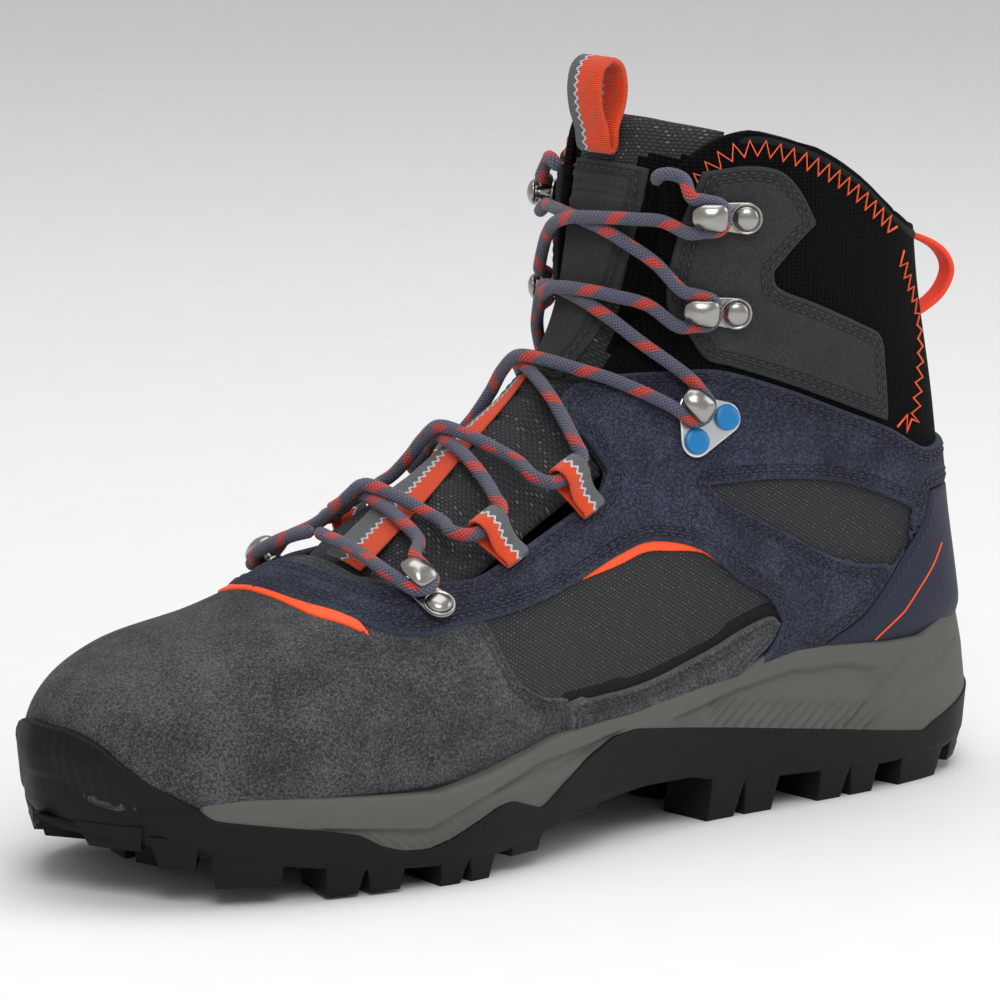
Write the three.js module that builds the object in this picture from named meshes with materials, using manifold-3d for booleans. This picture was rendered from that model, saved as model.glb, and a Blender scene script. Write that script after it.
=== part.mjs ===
// Mid-cut hiking boot, left foot. Millimetres, +Z up, toe towards -X, outer side of the foot towards -Y.
// The upper is drawn on one form, the last: sections that fan from upright at the toe to level at the ankle.
import * as THREE from 'three';
import Module from 'manifold-3d';

const wasm = await Module();
wasm.setup();
const { Manifold } = wasm;

// ---- driving sizes ----------------------------------------------------------------------------
const LENGTH_SCALE = 1.0;       // along the foot
const WIDTH_SCALE = 1.0;        // across the foot
const LINING_THICK = 1.4;       // inner bootie
const BASE_THICK = 1.4;         // mesh, toe suede and knit, all at the last's own surface
const OVERLAY_THICK = 1.4;      // suede and film overlays
const OVERLAY_LIFT = 0.5;       // clear of the layer under them
const POCKET = 2.3;             // midsole pocket outside the last
const LACE_DIA = 3.5;
const LACE_STEPS = 110;
const HOOK_POST_R = 1.4;
const HOOK_CAP_R = 4.4;
const RIVET_R = 3.2;
const PLATE_THICK = 1.0;
const PLATE_LIFT = 2.5;         // plate underside above the last
const WEBBING = 1.6;            // pull loops
const TONGUE_THICK = 4.0;
const COLLAR_FOAM = 6.2;
const GAP = 0.5;                // between pieces that meet edge to edge
const RIM = 3.0;                // outsole wall outside the midsole
const LUG_INSET = 16;
const TOE_RAKE = 0.3;           // how far the sole's front draws back for each mm of height

// ---- the last -----------------------------------------------------------------------------------
// station, ridge x z, heel side x z, widest point's share of the height,
// outer half width, inner half width, roundness above on the outer and the inner side, and below
const LAST = [
  [0.00, -141, 36, -141, 30, 0.50, 1, 1, 2.0, 2.0, 2.0],
  [0.25, -140, 42.5, -140, 25, 0.45, 15, 11.5, 2.0, 2.0, 2.4],
  [0.60, -137, 47.5, -137, 23, 0.42, 24, 18.5, 2.0, 2.1, 2.8],
  [1.00, -131, 52.5, -131, 21, 0.40, 31, 26, 2.1, 2.2, 3.2],
  [2.00, -112, 59.5, -112, 20, 0.34, 42, 39.5, 2.2, 2.25, 4.0],
  [3.00, -88, 66, -88, 20, 0.28, 48.5, 45, 2.2, 1.75, 4.6],
  [4.00, -60, 77, -62, 20, 0.25, 51, 46, 2.1, 1.5, 5.0],
  [5.00, -34, 89.5, -32, 21, 0.23, 48.5, 43, 2.0, 1.45, 4.6],
  [6.00, -12, 101.5, 4, 23.5, 0.24, 42.5, 38, 2.0, 1.5, 4.4],
  [7.00, 6, 112, 50, 26.5, 0.28, 38.5, 36, 2.0, 1.6, 4.4],
  [8.00, 17, 122, 108, 28, 0.34, 37.5, 36, 2.1, 1.8, 4.0],
  [9.00, 24, 134, 141.8, 42, 0.36, 37, 36, 2.2, 2.1, 3.2],
  [10.0, 28, 146, 138.8, 70, 0.40, 38.5, 37.5, 2.3, 2.3, 2.6],
  [11.0, 31, 158, 134, 102, 0.42, 40, 39.5, 2.4, 2.4, 2.4],
  [12.0, 34, 170, 128.5, 133, 0.44, 40, 39.5, 2.5, 2.5, 2.3],
  [13.0, 38, 184, 125, 160, 0.45, 40, 39.5, 2.5, 2.5, 2.3],
];
const LAST_END = LAST[LAST.length - 1][0];

function slopes(column) {
  const count = LAST.length;
  const rise = [];
  for (let i = 0; i < count - 1; i++) {
    rise.push((LAST[i + 1][column] - LAST[i][column]) / (LAST[i + 1][0] - LAST[i][0]));
  }
  const out = [rise[0]];
  for (let i = 1; i < count - 1; i++) {
    if (rise[i - 1] * rise[i] <= 0) {
      out.push(0);
      continue;
    }
    const before = LAST[i][0] - LAST[i - 1][0];
    const after = LAST[i + 1][0] - LAST[i][0];
    const w1 = 2 * after + before;
    const w2 = after + 2 * before;
    out.push((w1 + w2) / (w1 / rise[i - 1] + w2 / rise[i]));
  }
  out.push(rise[count - 2]);
  return out;
}

const SLOPES = [];
for (let column = 0; column < 11; column++) {
  SLOPES.push(column ? slopes(column) : []);
}

function lastSection(u) {
  const s = Math.min(Math.max(u, 0), LAST_END);
  let i = 0;
  while (i < LAST.length - 2 && LAST[i + 1][0] <= s) {
    i += 1;
  }
  const h = LAST[i + 1][0] - LAST[i][0];
  const t = (s - LAST[i][0]) / h;
  const out = [];
  for (let column = 1; column < 11; column++) {
    const a = (2 * t ** 3 - 3 * t ** 2 + 1) * LAST[i][column];
    const b = (t ** 3 - 2 * t ** 2 + t) * h * SLOPES[column][i];
    const c = (3 * t ** 2 - 2 * t ** 3) * LAST[i + 1][column];
    const d = (t ** 3 - t ** 2) * h * SLOPES[column][i + 1];
    out.push(a + b + c + d);
  }
  return out;
}

// angle in degrees: 0 on the ridge and shin, 90 on the inner side, -90 on the outer, 180 under and behind
function onLast(u, angle) {
  const [fx, fz, bx, bz, share, wl, wm, outerTop, innerTop, nb] = lastSection(u);
  const length = Math.hypot(fx - bx, fz - bz);
  const dx = (fx - bx) / length;
  const dz = (fz - bz) / length;
  const c = Math.cos(THREE.MathUtils.degToRad(angle));
  const s = Math.sin(THREE.MathUtils.degToRad(angle));
  const nt = s > 0 ? innerTop : outerTop;
  const power = 2 / (c >= 0 ? nt : nb);
  const reach = length * (c >= 0 ? 1 - share : share);
  const r = Math.sign(c) * reach * Math.abs(c) ** power;
  const y = Math.sign(s) * (s >= 0 ? wm : wl) * Math.abs(s) ** power;
  const x = bx + (fx - bx) * share + dx * r;
  const z = bz + (fz - bz) * share + dz * r;
  return new THREE.Vector3(x * LENGTH_SCALE, y * WIDTH_SCALE, z);
}

function lastNormal(u, angle) {
  if (u < 0.02) {
    return new THREE.Vector3(-1, 0, 0);
  }
  const along = onLast(Math.min(u + 0.04, LAST_END), angle).sub(onLast(u - 0.04, angle));
  const around = onLast(u, angle + 1.5).sub(onLast(u, angle - 1.5));
  return along.cross(around).normalize();
}

function offLast(u, angle, d) {
  return onLast(u, angle).addScaledVector(lastNormal(u, angle), d);
}

// ---- solids from points -------------------------------------------------------------------------
function solidFrom(points, triangles) {
  const vertProperties = new Float32Array(points.length * 3);
  points.forEach((p, i) => vertProperties.set([p.x, p.y, p.z], i * 3));
  const triVerts = new Uint32Array(triangles);
  return new Manifold(new wasm.Mesh({ numProp: 3, vertProperties, triVerts }));
}

// rows of points, each row a closed ring; both ends closed by a fan
function solidFromRings(rings) {
  const n = rings[0].length;
  const points = rings.flat();
  const triangles = [];
  for (let i = 0; i < rings.length - 1; i++) {
    for (let j = 0; j < n; j++) {
      const a = i * n + j;
      const b = i * n + (j + 1) % n;
      triangles.push(a, b, b + n, a, b + n, a + n);
    }
  }
  for (const [row, flip] of [[0, true], [rings.length - 1, false]]) {
    const centre = new THREE.Vector3();
    rings[row].forEach((p) => centre.addScaledVector(p, 1 / n));
    points.push(centre);
    const c = points.length - 1;
    for (let j = 0; j < n; j++) {
      const a = row * n + j;
      const b = row * n + (j + 1) % n;
      triangles.push(...(flip ? [c, b, a] : [c, a, b]));
    }
  }
  const solid = solidFrom(points, triangles);
  if (solid.volume() > 0) {
    return solid;
  }
  const turned = [];
  for (let k = 0; k < triangles.length; k += 3) {
    turned.push(triangles[k], triangles[k + 2], triangles[k + 1]);
  }
  return solidFrom(points, turned);
}

function range(from, to, steps) {
  const out = [];
  for (let i = 0; i <= steps; i++) {
    out.push(from + (to - from) * i / steps);
  }
  return out;
}

const STATIONS = [0, 0.15, 0.35, 0.65, 1.1, 1.7, 2.4, 3.2, 4, 4.8, 5.6, 6.3, 7, 7.6, 8.2, 8.7, 9.2, 9.8, 10.5, 11.2, 12,
  12.5, 13];
const AROUND = 24;

// the whole last, grown or shrunk; the inner layers start a little behind the toe tip
function lastSolid(depth, first = 0) {
  const depthAt = typeof depth === 'function' ? depth : () => depth;
  const rings = STATIONS.filter((u) => u >= first).map((u) => {
    const ring = [];
    for (let j = 0; j < AROUND; j++) {
      const angle = -180 + 360 * j / AROUND;
      ring.push(offLast(u, angle, depthAt(u, angle)));
    }
    return ring;
  });
  return solidFromRings(rings);
}

// a closed slab between two depths over part of the last
function patchSolid(us, angles, outer, inner) {
  const rings = us.map((u) => {
    const top = angles(u).map((a) => offLast(u, a, outer(u, a)));
    const under = angles(u).map((a) => offLast(u, a, inner(u, a))).reverse();
    return [...top, ...under];
  });
  return solidFromRings(rings);
}

function geometrySolid(geometry, matrix) {
  const g = geometry.index ? geometry.toNonIndexed() : geometry.clone();
  if (matrix) {
    g.applyMatrix4(matrix);
  }
  const position = g.getAttribute('position');
  const seen = new Map();
  const points = [];
  const triangles = [];
  for (let i = 0; i < position.count; i++) {
    const p = new THREE.Vector3().fromBufferAttribute(position, i);
    const key = [p.x, p.y, p.z].map((v) => Math.round(v * 1e4)).join(',');
    if (!seen.has(key)) {
      seen.set(key, points.length);
      points.push(p);
    }
    triangles.push(seen.get(key));
  }
  const kept = [];
  for (let k = 0; k < triangles.length; k += 3) {
    const [a, b, c] = triangles.slice(k, k + 3);
    if (a !== b && b !== c && a !== c) {
      kept.push(a, b, c);
    }
  }
  return solidFrom(points, kept);
}

function shapeOf(points) {
  return new THREE.Shape(points.map(([a, b]) => new THREE.Vector2(a, b)));
}

// an outline in x and z, taken straight across the boot from y = from to y = to
function acrossSolid(outline, from = -90, to = 90) {
  const scaled = outline.map(([x, z]) => [x * LENGTH_SCALE, z]);
  const geometry = new THREE.ExtrudeGeometry(shapeOf(scaled), { depth: to - from, bevelEnabled: false });
  const stand = new THREE.Matrix4().makeRotationX(Math.PI / 2);
  const shift = new THREE.Matrix4().makeTranslation(0, to, 0);
  return geometrySolid(geometry, shift.multiply(stand));
}

function upSolid(outline, from, to) {
  const geometry = new THREE.ExtrudeGeometry(shapeOf(outline), { depth: to - from, bevelEnabled: false });
  return geometrySolid(geometry, new THREE.Matrix4().makeTranslation(0, 0, from));
}

function smooth(points, closed, steps) {
  const curve = new THREE.CatmullRomCurve3(points.map(([a, b]) => new THREE.Vector3(a, b, 0)), closed, 'centripetal');
  return curve.getPoints(steps).slice(0, closed ? steps : steps + 1).map((p) => [p.x, p.y]);
}

function union(solids) {
  return solids.reduce((a, b) => a.add(b));
}

// ---- the assembly -------------------------------------------------------------------------------
const boot = new THREE.Group();
boot.name = 'hiking_boot';

const FINISH = {
  rubber: [0x262626, 0.75, 0],
  foam: [0x686865, 0.7, 0],
  toeSuede: [0x464a4a, 0.95, 0],
  mesh: [0x3a3b3d, 0.9, 0],
  navySuede: [0x3a3d4e, 0.95, 0],
  film: [0x2e3350, 0.55, 0],
  nubuck: [0x3f4041, 0.85, 0],
  knit: [0x0c0c0c, 0.95, 0],
  lining: [0x1c1d20, 0.95, 0],
  board: [0xb9a37c, 0.9, 0],
  steel: [0x8d9196, 0.35, 1],
  stiffener: [0xc9c4b6, 0.8, 0],
  nickel: [0x8f8d8a, 0.3, 1],
  blue: [0x0a84c4, 0.45, 0.1],
  orange: [0xff5a14, 0.8, 0],
  lace: [0x5c5d75, 0.85, 0],
};

function addMesh(parent, name, solid, finish) {
  const mesh = solid.getMesh();
  const geometry = new THREE.BufferGeometry();
  const positions = new Float32Array(mesh.numVert * 3);
  for (let i = 0; i < mesh.numVert; i++) {
    for (let k = 0; k < 3; k++) {
      positions[i * 3 + k] = mesh.vertProperties[i * mesh.numProp + k];
    }
  }
  geometry.setAttribute('position', new THREE.BufferAttribute(positions, 3));
  geometry.setIndex(new THREE.BufferAttribute(new Uint32Array(mesh.triVerts), 1));
  const [color, roughness, metalness] = FINISH[finish];
  const item = new THREE.Mesh(geometry, new THREE.MeshStandardMaterial({ color, roughness, metalness }));
  item.name = name;
  parent.add(item);
}

const SIDES = [['lateral', -1], ['medial', 1]];
const sideRange = (sign) => (sign < 0 ? [-90, -0.3] : [0.3, 90]);

// ---- outlines of the upper's pieces, x and z, the same on both sides ------------------------------
// the bed that the foot stands on, along the middle of the boot
const BED = [[-170, 20], [-62, 20], [-32, 21], [4, 23.5], [50, 26.5], [108, 28], [170, 29]];
const bedBand = (low, high) => acrossSolid([...BED.map(([x, z]) => [x, z + low]),
  ...BED.slice().reverse().map(([x, z]) => [x, z + high])]);
const aboveHem = acrossSolid([...BED.map(([x, z]) => [x, z + 3.7]), [170, 260], [-170, 260]]);

const TOE = [[-170, 0], [-16.5, 0], [-16.5, 40], [-24, 41], [-33, 45.7], [-37.3, 51.7], [-41, 62], [-45, 69.5],
  [-55, 70.6], [-64, 72.5], [-65, 100], [-170, 100]];
const MESH = [[-15.9, 0], [-15.9, 40.6], [-23.7, 41.6], [-32.5, 46.2], [-36.8, 52], [-40.4, 62.2], [-43.6, 69],
  [-38.6, 70.5], [-29, 73.2], [-16, 77.6], [-3.2, 82.3], [8, 86.6], [13.6, 93], [10.8, 102], [9.6, 106],
  [18, 112.2], [38, 114.6], [48, 114.6], [64, 109.8], [84, 101.8], [100, 95.6], [114, 88.6], [128, 83], [128, 0]];
const STRIP = [[-15.9, 0], [-15.9, 39.6], [12.3, 40.3], [34.3, 44.9], [59.8, 52], [62.4, 49.9], [59.4, 45.3],
  [46, 34], [44, 0]];
const QUARTER = [[-81, 90], [-80, 68.6], [-79.2, 67.6], [-75, 66], [-70.3, 63], [-64, 61.2], [-57.2, 60.8],
  [-49.5, 61.9], [-29.7, 63.9], [-11.4, 67.3], [9.5, 73.4], [20, 75.3], [35.8, 71.8], [48.6, 62.5], [59.3, 56.4],
  [63.6, 50], [60, 44], [47, 33], [45, 0], [66, 0], [66.2, 24], [70, 35.6], [79.5, 42.4], [93.6, 49], [106, 61.7],
  [113.9, 71], [116.4, 79.5], [170, 79.5], [170, 93], [128, 91.5], [115, 91], [100.4, 97.9], [84.5, 104],
  [64.6, 111.8], [48.2, 116.8], [38.1, 116.8], [22.7, 116], [14, 113.4], [8.4, 109], [7.6, 105], [9.6, 101],
  [12.3, 93], [7.3, 88.1], [-3.5, 84], [-16.4, 79.3], [-29.2, 74.9], [-38.6, 72], [-54, 71.5], [-62, 70.6],
  [-66, 72.5], [-67.5, 74], [-68, 90]];
const WINDOW = [[41, 87.6], [65, 87.3], [85.8, 84.5], [99.2, 80.1], [110.6, 75.2], [109.6, 68.3], [105, 61.8],
  [96.5, 61.6], [83.8, 64.4], [64.1, 73.7], [44.7, 83.9]];
const HEEL_WRAP = [[117, 79], [114.5, 70.8], [106.6, 61.3], [94.2, 48.6], [80, 42], [70.5, 35.2], [66.8, 24],
  [66.8, 0], [170, 0], [170, 79]];
const COLLAR_TOP = [[34, 160], [37.7, 166], [42, 172], [48, 177], [55.5, 178.6], [66, 176], [77.5, 171], [87.6, 165],
  [95, 159.5], [102, 154.4], [112, 150], [125, 148.5], [170, 148]];
const COLLAR_SIDE = [[18, 114], [27, 124], [33.5, 137], [35.6, 150], [36.8, 163], [38.2, 166.4], [42, 172], [48, 177],
  [55.5, 178.6], [66, 176], [77.5, 171], [87.6, 165], [95, 159.5], [101.5, 154.8], [107, 146], [111.6, 138],
  [117.3, 127], [117.5, 117], [115, 104], [113.4, 90.4], [100, 97.2], [84, 103.2], [64, 111.2], [48, 116],
  [38, 116]];
const COLLAR_REAR = [[102.2, 154.4], [107.7, 146.2], [112.2, 138.2], [117.9, 127], [118.1, 117], [115.6, 104],
  [114.2, 90], [170, 90], [170, 148], [125, 148.5], [112, 150]];
const ANKLE = [[43.5, 168.5], [53.2, 170], [61, 168.6], [65.8, 164.5], [71.9, 154.4], [66.1, 149.4], [60, 142.4],
  [60.9, 138.8], [72.9, 133.3], [88.8, 126.4], [94.3, 123.5], [96.8, 113.9], [99.2, 99.9], [84.4, 105.6],
  [64.6, 113.2], [50.8, 117.9], [45.5, 119.4], [40.5, 127], [37, 132], [36.6, 139.4], [39.4, 155.3]];

const belowCollarTop = acrossSolid([...COLLAR_TOP, [170, 0], [-170, 0], [-170, 160]]);

// ---- layers of the upper ------------------------------------------------------------------------
const baseShell = lastSolid(0).subtract(lastSolid(-BASE_THICK));
const overOuter = OVERLAY_LIFT + OVERLAY_THICK;
const overShell = lastSolid(overOuter).subtract(lastSolid(OVERLAY_LIFT));
const base = baseShell.intersect(aboveHem);
const over = overShell.intersect(aboveHem);

const upper = new THREE.Group();
upper.name = 'upper';
boot.add(upper);

addMesh(upper, 'toe_suede', base.intersect(acrossSolid(TOE)), 'toeSuede');
const windowHole = acrossSolid(WINDOW);
addMesh(upper, 'quarter_suede', over.intersect(acrossSolid(QUARTER)).subtract(windowHole), 'navySuede');
addMesh(upper, 'heel_overlay', over.intersect(acrossSolid(HEEL_WRAP)), 'film');
addMesh(upper, 'collar_rear', base.intersect(acrossSolid(COLLAR_REAR)), 'knit');
for (const [side, sign] of SIDES) {
  const [from, to] = sideRange(sign);
  addMesh(upper, `side_mesh_${side}`, base.intersect(acrossSolid(MESH, from, to)), 'mesh');
  addMesh(upper, `side_strip_${side}`, over.intersect(acrossSolid(STRIP, from, to)), 'toeSuede');
  addMesh(upper, `collar_knit_${side}`, base.intersect(acrossSolid(COLLAR_SIDE, from, to)), 'knit');
  addMesh(upper, `ankle_overlay_${side}`, over.intersect(acrossSolid(ANKLE, from, to)), 'nubuck');
}

// ---- inside the upper ---------------------------------------------------------------------------
const ease = (t) => {
  const k = Math.min(Math.max(t, 0), 1);
  return k * k * (3 - 2 * k);
};
const foamDepth = (u) => COLLAR_FOAM * ease((u - 10) / 1.4);
const stiffOuter = BASE_THICK + 0.5;
const stiffInner = stiffOuter + 1.4;
const liningOuter = stiffInner + GAP;
const liningDepth = (u) => liningOuter + foamDepth(u);
const INNER_START = 0.6;
const innerShell = lastSolid((u) => -liningDepth(u), INNER_START)
  .subtract(lastSolid((u) => -liningDepth(u) - LINING_THICK, INNER_START + 0.3));
// the throat, where the tongue comes up through the lining
const throat = patchSolid(range(3.4, 13, 16), () => range(-47, 47, 10), () => 4, () => -22);
const throatEnd = acrossSolid([[20, 168], [75, 168], [75, 220], [20, 220]], -24, 24);
addMesh(upper, 'lining', innerShell.intersect(belowCollarTop)
  .subtract(throat).subtract(throatEnd), 'lining');

const stiffShell = lastSolid(-stiffOuter, 0.3).subtract(lastSolid(-stiffInner, INNER_START));
addMesh(upper, 'toe_puff', stiffShell.intersect(acrossSolid([[-170, 26], [-104, 26], [-108, 40], [-112, 90],
  [-170, 90]])), 'stiffener');
addMesh(upper, 'heel_counter', stiffShell.intersect(acrossSolid([[78, 31.7], [170, 32.7], [170, 84], [112, 84],
  [98, 72], [84, 50]])), 'stiffener');

const foamInner = lastSolid((u) => Math.min(-liningDepth(u) + GAP, -stiffOuter - 0.05), INNER_START);
const foamShell = lastSolid(-stiffOuter, 0.3).subtract(foamInner);
const foamZone = acrossSolid([[48, 168], [56, 174.5], [66, 172], [77.5, 167], [87.6, 161], [95, 155.5], [104, 149.5],
  [118, 145.5], [170, 144.5], [170, 116], [100, 125], [60, 140], [47, 150]]);
addMesh(upper, 'collar_foam', foamShell.intersect(foamZone).subtract(throat), 'stiffener');

// ---- tongue -------------------------------------------------------------------------------------
const TONGUE_SPLIT = 12.02;
const TONGUE_TOP = 12.86;
const tongueUnder = BASE_THICK + 1.0;
const bulgeEdge = (u) => 32 - 13 * ease((u - 5.9) / 0.7) + 0.2 * ease((u - 8.4) / 0.8);
const bulge = (u, a) => ease((u - 4.1) / 0.5) * ease((bulgeEdge(u) - Math.abs(a)) / 10);
const tongueOuter = (u, a) => -tongueUnder + (tongueUnder + 0.4) * bulge(u, a);
const padding = (u) => 1 + 1.1 * ease((u - 10.6) / 1.6);
const tongueInner = (u, a) => tongueOuter(u, a) - TONGUE_THICK * padding(u) * (0.55 + 0.45 * ease((46 - Math.abs(a)) / 14));
const tongueAngles = () => [-44, -36, -28, -21, -15, -8, 0, 8, 15, 21, 28, 36, 44];

const tongue = new THREE.Group();
tongue.name = 'tongue';
boot.add(tongue);
addMesh(tongue, 'tongue_body', patchSolid(range(3.5, TONGUE_SPLIT, 17), tongueAngles, tongueOuter, tongueInner), 'mesh');
const topOuter = (u, a) => tongueOuter(u, a) - 0.6 * ease((u - 12.5) / 0.36);
const topInner = (u, a) => tongueInner(u, a) + 4 * ease((u - 12.45) / 0.41);
addMesh(tongue, 'tongue_top', patchSolid(range(TONGUE_SPLIT + 0.06, TONGUE_TOP, 4), () => range(-40, 40, 10),
  topOuter, topInner), 'mesh');

// grey nubuck face of the upper tongue
const faceLift = 0.8;
const faceSolid = patchSolid(range(7.35, 11.96, 9), (u) => {
  const half = 16 + 0.6 * ease((u - 8.4) / 1.2);
  return range(-half, half, 6);
}, (u, a) => tongueOuter(u, a) + 0.35 + faceLift, (u, a) => tongueOuter(u, a) + 0.35);
addMesh(tongue, 'tongue_face', faceSolid, 'nubuck');

// webbing that keeps the laces on the middle of the tongue
const keeperCentre = (u) => THREE.MathUtils.lerp(-13, 9, (u - 4) / 3.2);
const keeperSolid = patchSolid(range(3.95, 7.28, 10), (u) => {
  const c = keeperCentre(u);
  return range(c - 7.5, c + 7.5, 2);
}, () => 1.5, () => 0.75);
addMesh(tongue, 'tongue_keeper', keeperSolid, 'orange');

// ---- midsole and outsole ------------------------------------------------------------------------
const PLAN = [[-148, 3], [-146.5, -6], [-142, -16], [-133.5, -27.5], [-120, -39.5], [-100, -48], [-75, -54], [-50, -56],
  [-25, -52.5], [5, -46], [40, -42.5], [75, -42.5], [105, -41.5], [130, -36], [144, -25], [151, -11], [152, 0],
  [151, 11], [144, 25], [130, 35.5], [105, 40.5], [75, 40.5], [40, 39], [5, 41], [-25, 46.5], [-50, 50.5],
  [-75, 50], [-100, 46], [-120, 38], [-134, 27.5], [-142.5, 17], [-146.5, 9]];

const PLAN_STEPS = 44;

function planRing(inset, z, slope) {
  const ring = smooth(PLAN, true, PLAN_STEPS);
  return ring.map(([x, y], i) => {
    const a = ring[(i + PLAN_STEPS - 1) % PLAN_STEPS];
    const b = ring[(i + 1) % PLAN_STEPS];
    const n = new THREE.Vector2(-(b[1] - a[1]), b[0] - a[0]).normalize();
    const rake = slope * Math.max(0, 36 - z) * ease((-116 - x) / 34);
    return new THREE.Vector3((x + n.x * inset + rake) * LENGTH_SCALE, (y + n.y * inset) * WIDTH_SCALE, z);
  });
}

const wallLevels = [[-6, 5.5], [0, 4], [10, 1.3], [22, 0.3], [34, 1.6], [62, 7]];
const wall = (extra, slope = TOE_RAKE) => solidFromRings(wallLevels
  .map(([z, inset]) => planRing(inset + extra, z, slope)));
const soleWall = wall(0);
const innerWall = wall(RIM);

// heights along the foot: underside of the tread plate, top of the plate, top of the black wall, top of the foam
const PLATE_UNDER = [[-170, 22], [-150, 19], [-135, 15.5], [-120, 12.5], [-105, 10.5], [-85, 7.5], [-60, 6],
  [-40, 7], [-25, 9.5], [-8, 13], [12, 14.5], [30, 14], [40, 11.5], [60, 10], [100, 8], [125, 8], [145, 10],
  [170, 14]];
const PLATE_TOP = PLATE_UNDER.map(([x, z]) => [x, z + 3.2]);
const BLACK_TOP = [[-170, 43], [-145, 42.5], [-140.5, 40], [-133, 31.5], [-126, 26.3], [-122, 22.6], [-97, 18.6],
  [-86, 16.2], [-80, 12.8], [-74, 11], [-67, 10.6], [-60, 12.5], [-53, 15.4], [-45.7, 18.6], [-40.3, 19.3],
  [-29.4, 15.6], [-19.9, 21.3], [-11.7, 25], [0.7, 29], [8.6, 29.6], [40, 25.2], [74, 20.5], [115, 14.4],
  [118.5, 16.2], [128, 19], [140, 22], [150, 24], [170, 26]];
const FOAM_TOP = [[-170, 26.5], [-126, 26.8], [-113, 27.5], [-91, 26], [-64, 24.5], [-45.8, 27.5], [-22, 32.5],
  [8.6, 33.6], [31, 36.6], [45.5, 38.6], [56, 41.5], [63, 43], [77, 42], [103, 40], [116, 39.8], [125, 43],
  [131, 49], [137, 51], [170, 51]];

const above = (line, lift = 0) => acrossSolid([...line.map(([x, z]) => [x, z + lift]), [170, 90], [-170, 90]]);
const foamUnder = PLATE_TOP.map(([x, z]) => [x, z + 0.4]);
const pocket = lastSolid(POCKET);
const toeGap = lastSolid(0.6);

const outsolePlate = soleWall.intersect(above(PLATE_UNDER)).subtract(above(BLACK_TOP))
  .subtract(innerWall.intersect(above(PLATE_TOP))).subtract(toeGap)
  .subtract(pocket.intersect(acrossSolid([[-60, 0], [170, 0], [170, 90], [-60, 90]])));

// tread lugs: from x, to x, how far they reach down, notch in the middle
const LUGS = [[-145, -137, 13.5, false], [-134, -126, 9.5, false], [-121.6, -106, 5, false], [-94, -74, 1, true],
  [-62, -46, 0, true], [-39, -29, 4.5, false], [-20, -8, 11, false], [38, 60.5, 0, true], [77, 97, 0, true],
  [108, 125, 0, false], [131, 144, 3, false]];
const lugParts = [];
for (const [x0, x1, bottom, notch] of LUGS) {
  const middle = (x0 + x1) / 2;
  const half = (x1 - x0) / 2;
  const top = bottom + 13;
  const profile = [[x0, bottom], [x1, bottom], [x1 + 1, top], [x0 - 1, top]];
  const bars = notch
    ? [[[x0, bottom], [middle - 2, bottom], [middle - 0.6, bottom + 4.2], [middle, top], [x0 - 1, top]],
      [[middle + 2, bottom], [x1, bottom], [x1 + 1, top], [middle - 0.2, top], [middle + 0.6, bottom + 4.2]]]
    : [profile];
  for (const bar of bars) {
    lugParts.push(acrossSolid(bar));
  }
  if (half > 7) {
    const inner = [[middle - half * 0.6, bottom], [middle + half * 0.6, bottom], [middle + half * 0.7, top],
      [middle - half * 0.7, top]];
    lugParts.push(acrossSolid(inner, -13, -2));
    lugParts.push(acrossSolid(inner, 2.5, 13));
  }
}
const centre = wall(LUG_INSET + RIM, 0).intersect(acrossSolid([[-170, -10], [170, -10], [170, 60], [-170, 60]]));
const edgeBars = soleWall.subtract(centre);
const underPlate = acrossSolid([[-170, -10], ...PLATE_UNDER.slice().map(([x, z]) => [x, z + 1.5]), [170, -10]]);
const outerLugs = [];
const middleLugs = [];
lugParts.forEach((part) => {
  const box = part.boundingBox();
  (box.max[1] - box.min[1] > 100 ? outerLugs : middleLugs).push(part);
});
const lugs = union([union(outerLugs).intersect(edgeBars), union(middleLugs).intersect(wall(LUG_INSET + 5, 0))])
  .intersect(underPlate);
const sole = new THREE.Group();
sole.name = 'sole';
boot.add(sole);
addMesh(sole, 'outsole', outsolePlate.add(lugs), 'rubber');

const foamWall = soleWall.intersect(above(BLACK_TOP, 0.4)).add(wall(RIM + 0.4));
const shankSlot = new THREE.BoxGeometry(118 * LENGTH_SCALE, 17, 8);
const shankTilt = new THREE.Matrix4().makeRotationY(-Math.atan2(5.5, 100));
const shankAt = (z) => new THREE.Matrix4().makeTranslation(24 * LENGTH_SCALE, 0, z).multiply(shankTilt);
const foamBlock = foamWall.intersect(above(foamUnder)).subtract(above(FOAM_TOP));
const footPocket = pocket.add(pocket.translate([0, 0, 6])).add(pocket.translate([0, 0, 14]));
const slot = geometrySolid(shankSlot, shankAt(24.4));
const toeClear = acrossSolid([[-170, 0], [-124, 0], [-124, 22], [-136, 90], [-170, 90]]);
addMesh(sole, 'midsole', foamBlock.subtract(footPocket).subtract(slot)
  .subtract(toeClear.subtract(wall(RIM + 0.4))).subtract(toeClear.intersect(lastSolid(1.1))), 'foam');
addMesh(sole, 'shank', geometrySolid(new THREE.BoxGeometry(116 * LENGTH_SCALE, 15, 1.2), shankAt(21.4)), 'steel');

addMesh(sole, 'insole_board', lastSolid(-0.3, 0.3).intersect(bedBand(0.8, 3.3)), 'board');
addMesh(sole, 'footbed', lastSolid(-liningOuter - LINING_THICK - 0.5, 1.4).intersect(bedBand(2, 9.5)), 'lining');

// ---- hardware along the lacing -------------------------------------------------------------------
// a frame on the last: x away from the tongue, y up the boot, z off the surface
function guideFrame(u, angle) {
  const origin = onLast(u, angle);
  const z = lastNormal(u, angle);
  const up = onLast(u + 0.1, angle).sub(onLast(u - 0.1, angle));
  const y = up.addScaledVector(z, -up.dot(z)).normalize();
  const x = y.clone().cross(z).normalize();
  if (x.y * Math.sign(angle) < 0) {
    x.negate();
    y.negate();
  }
  return { origin, x, y, z };
}

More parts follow.
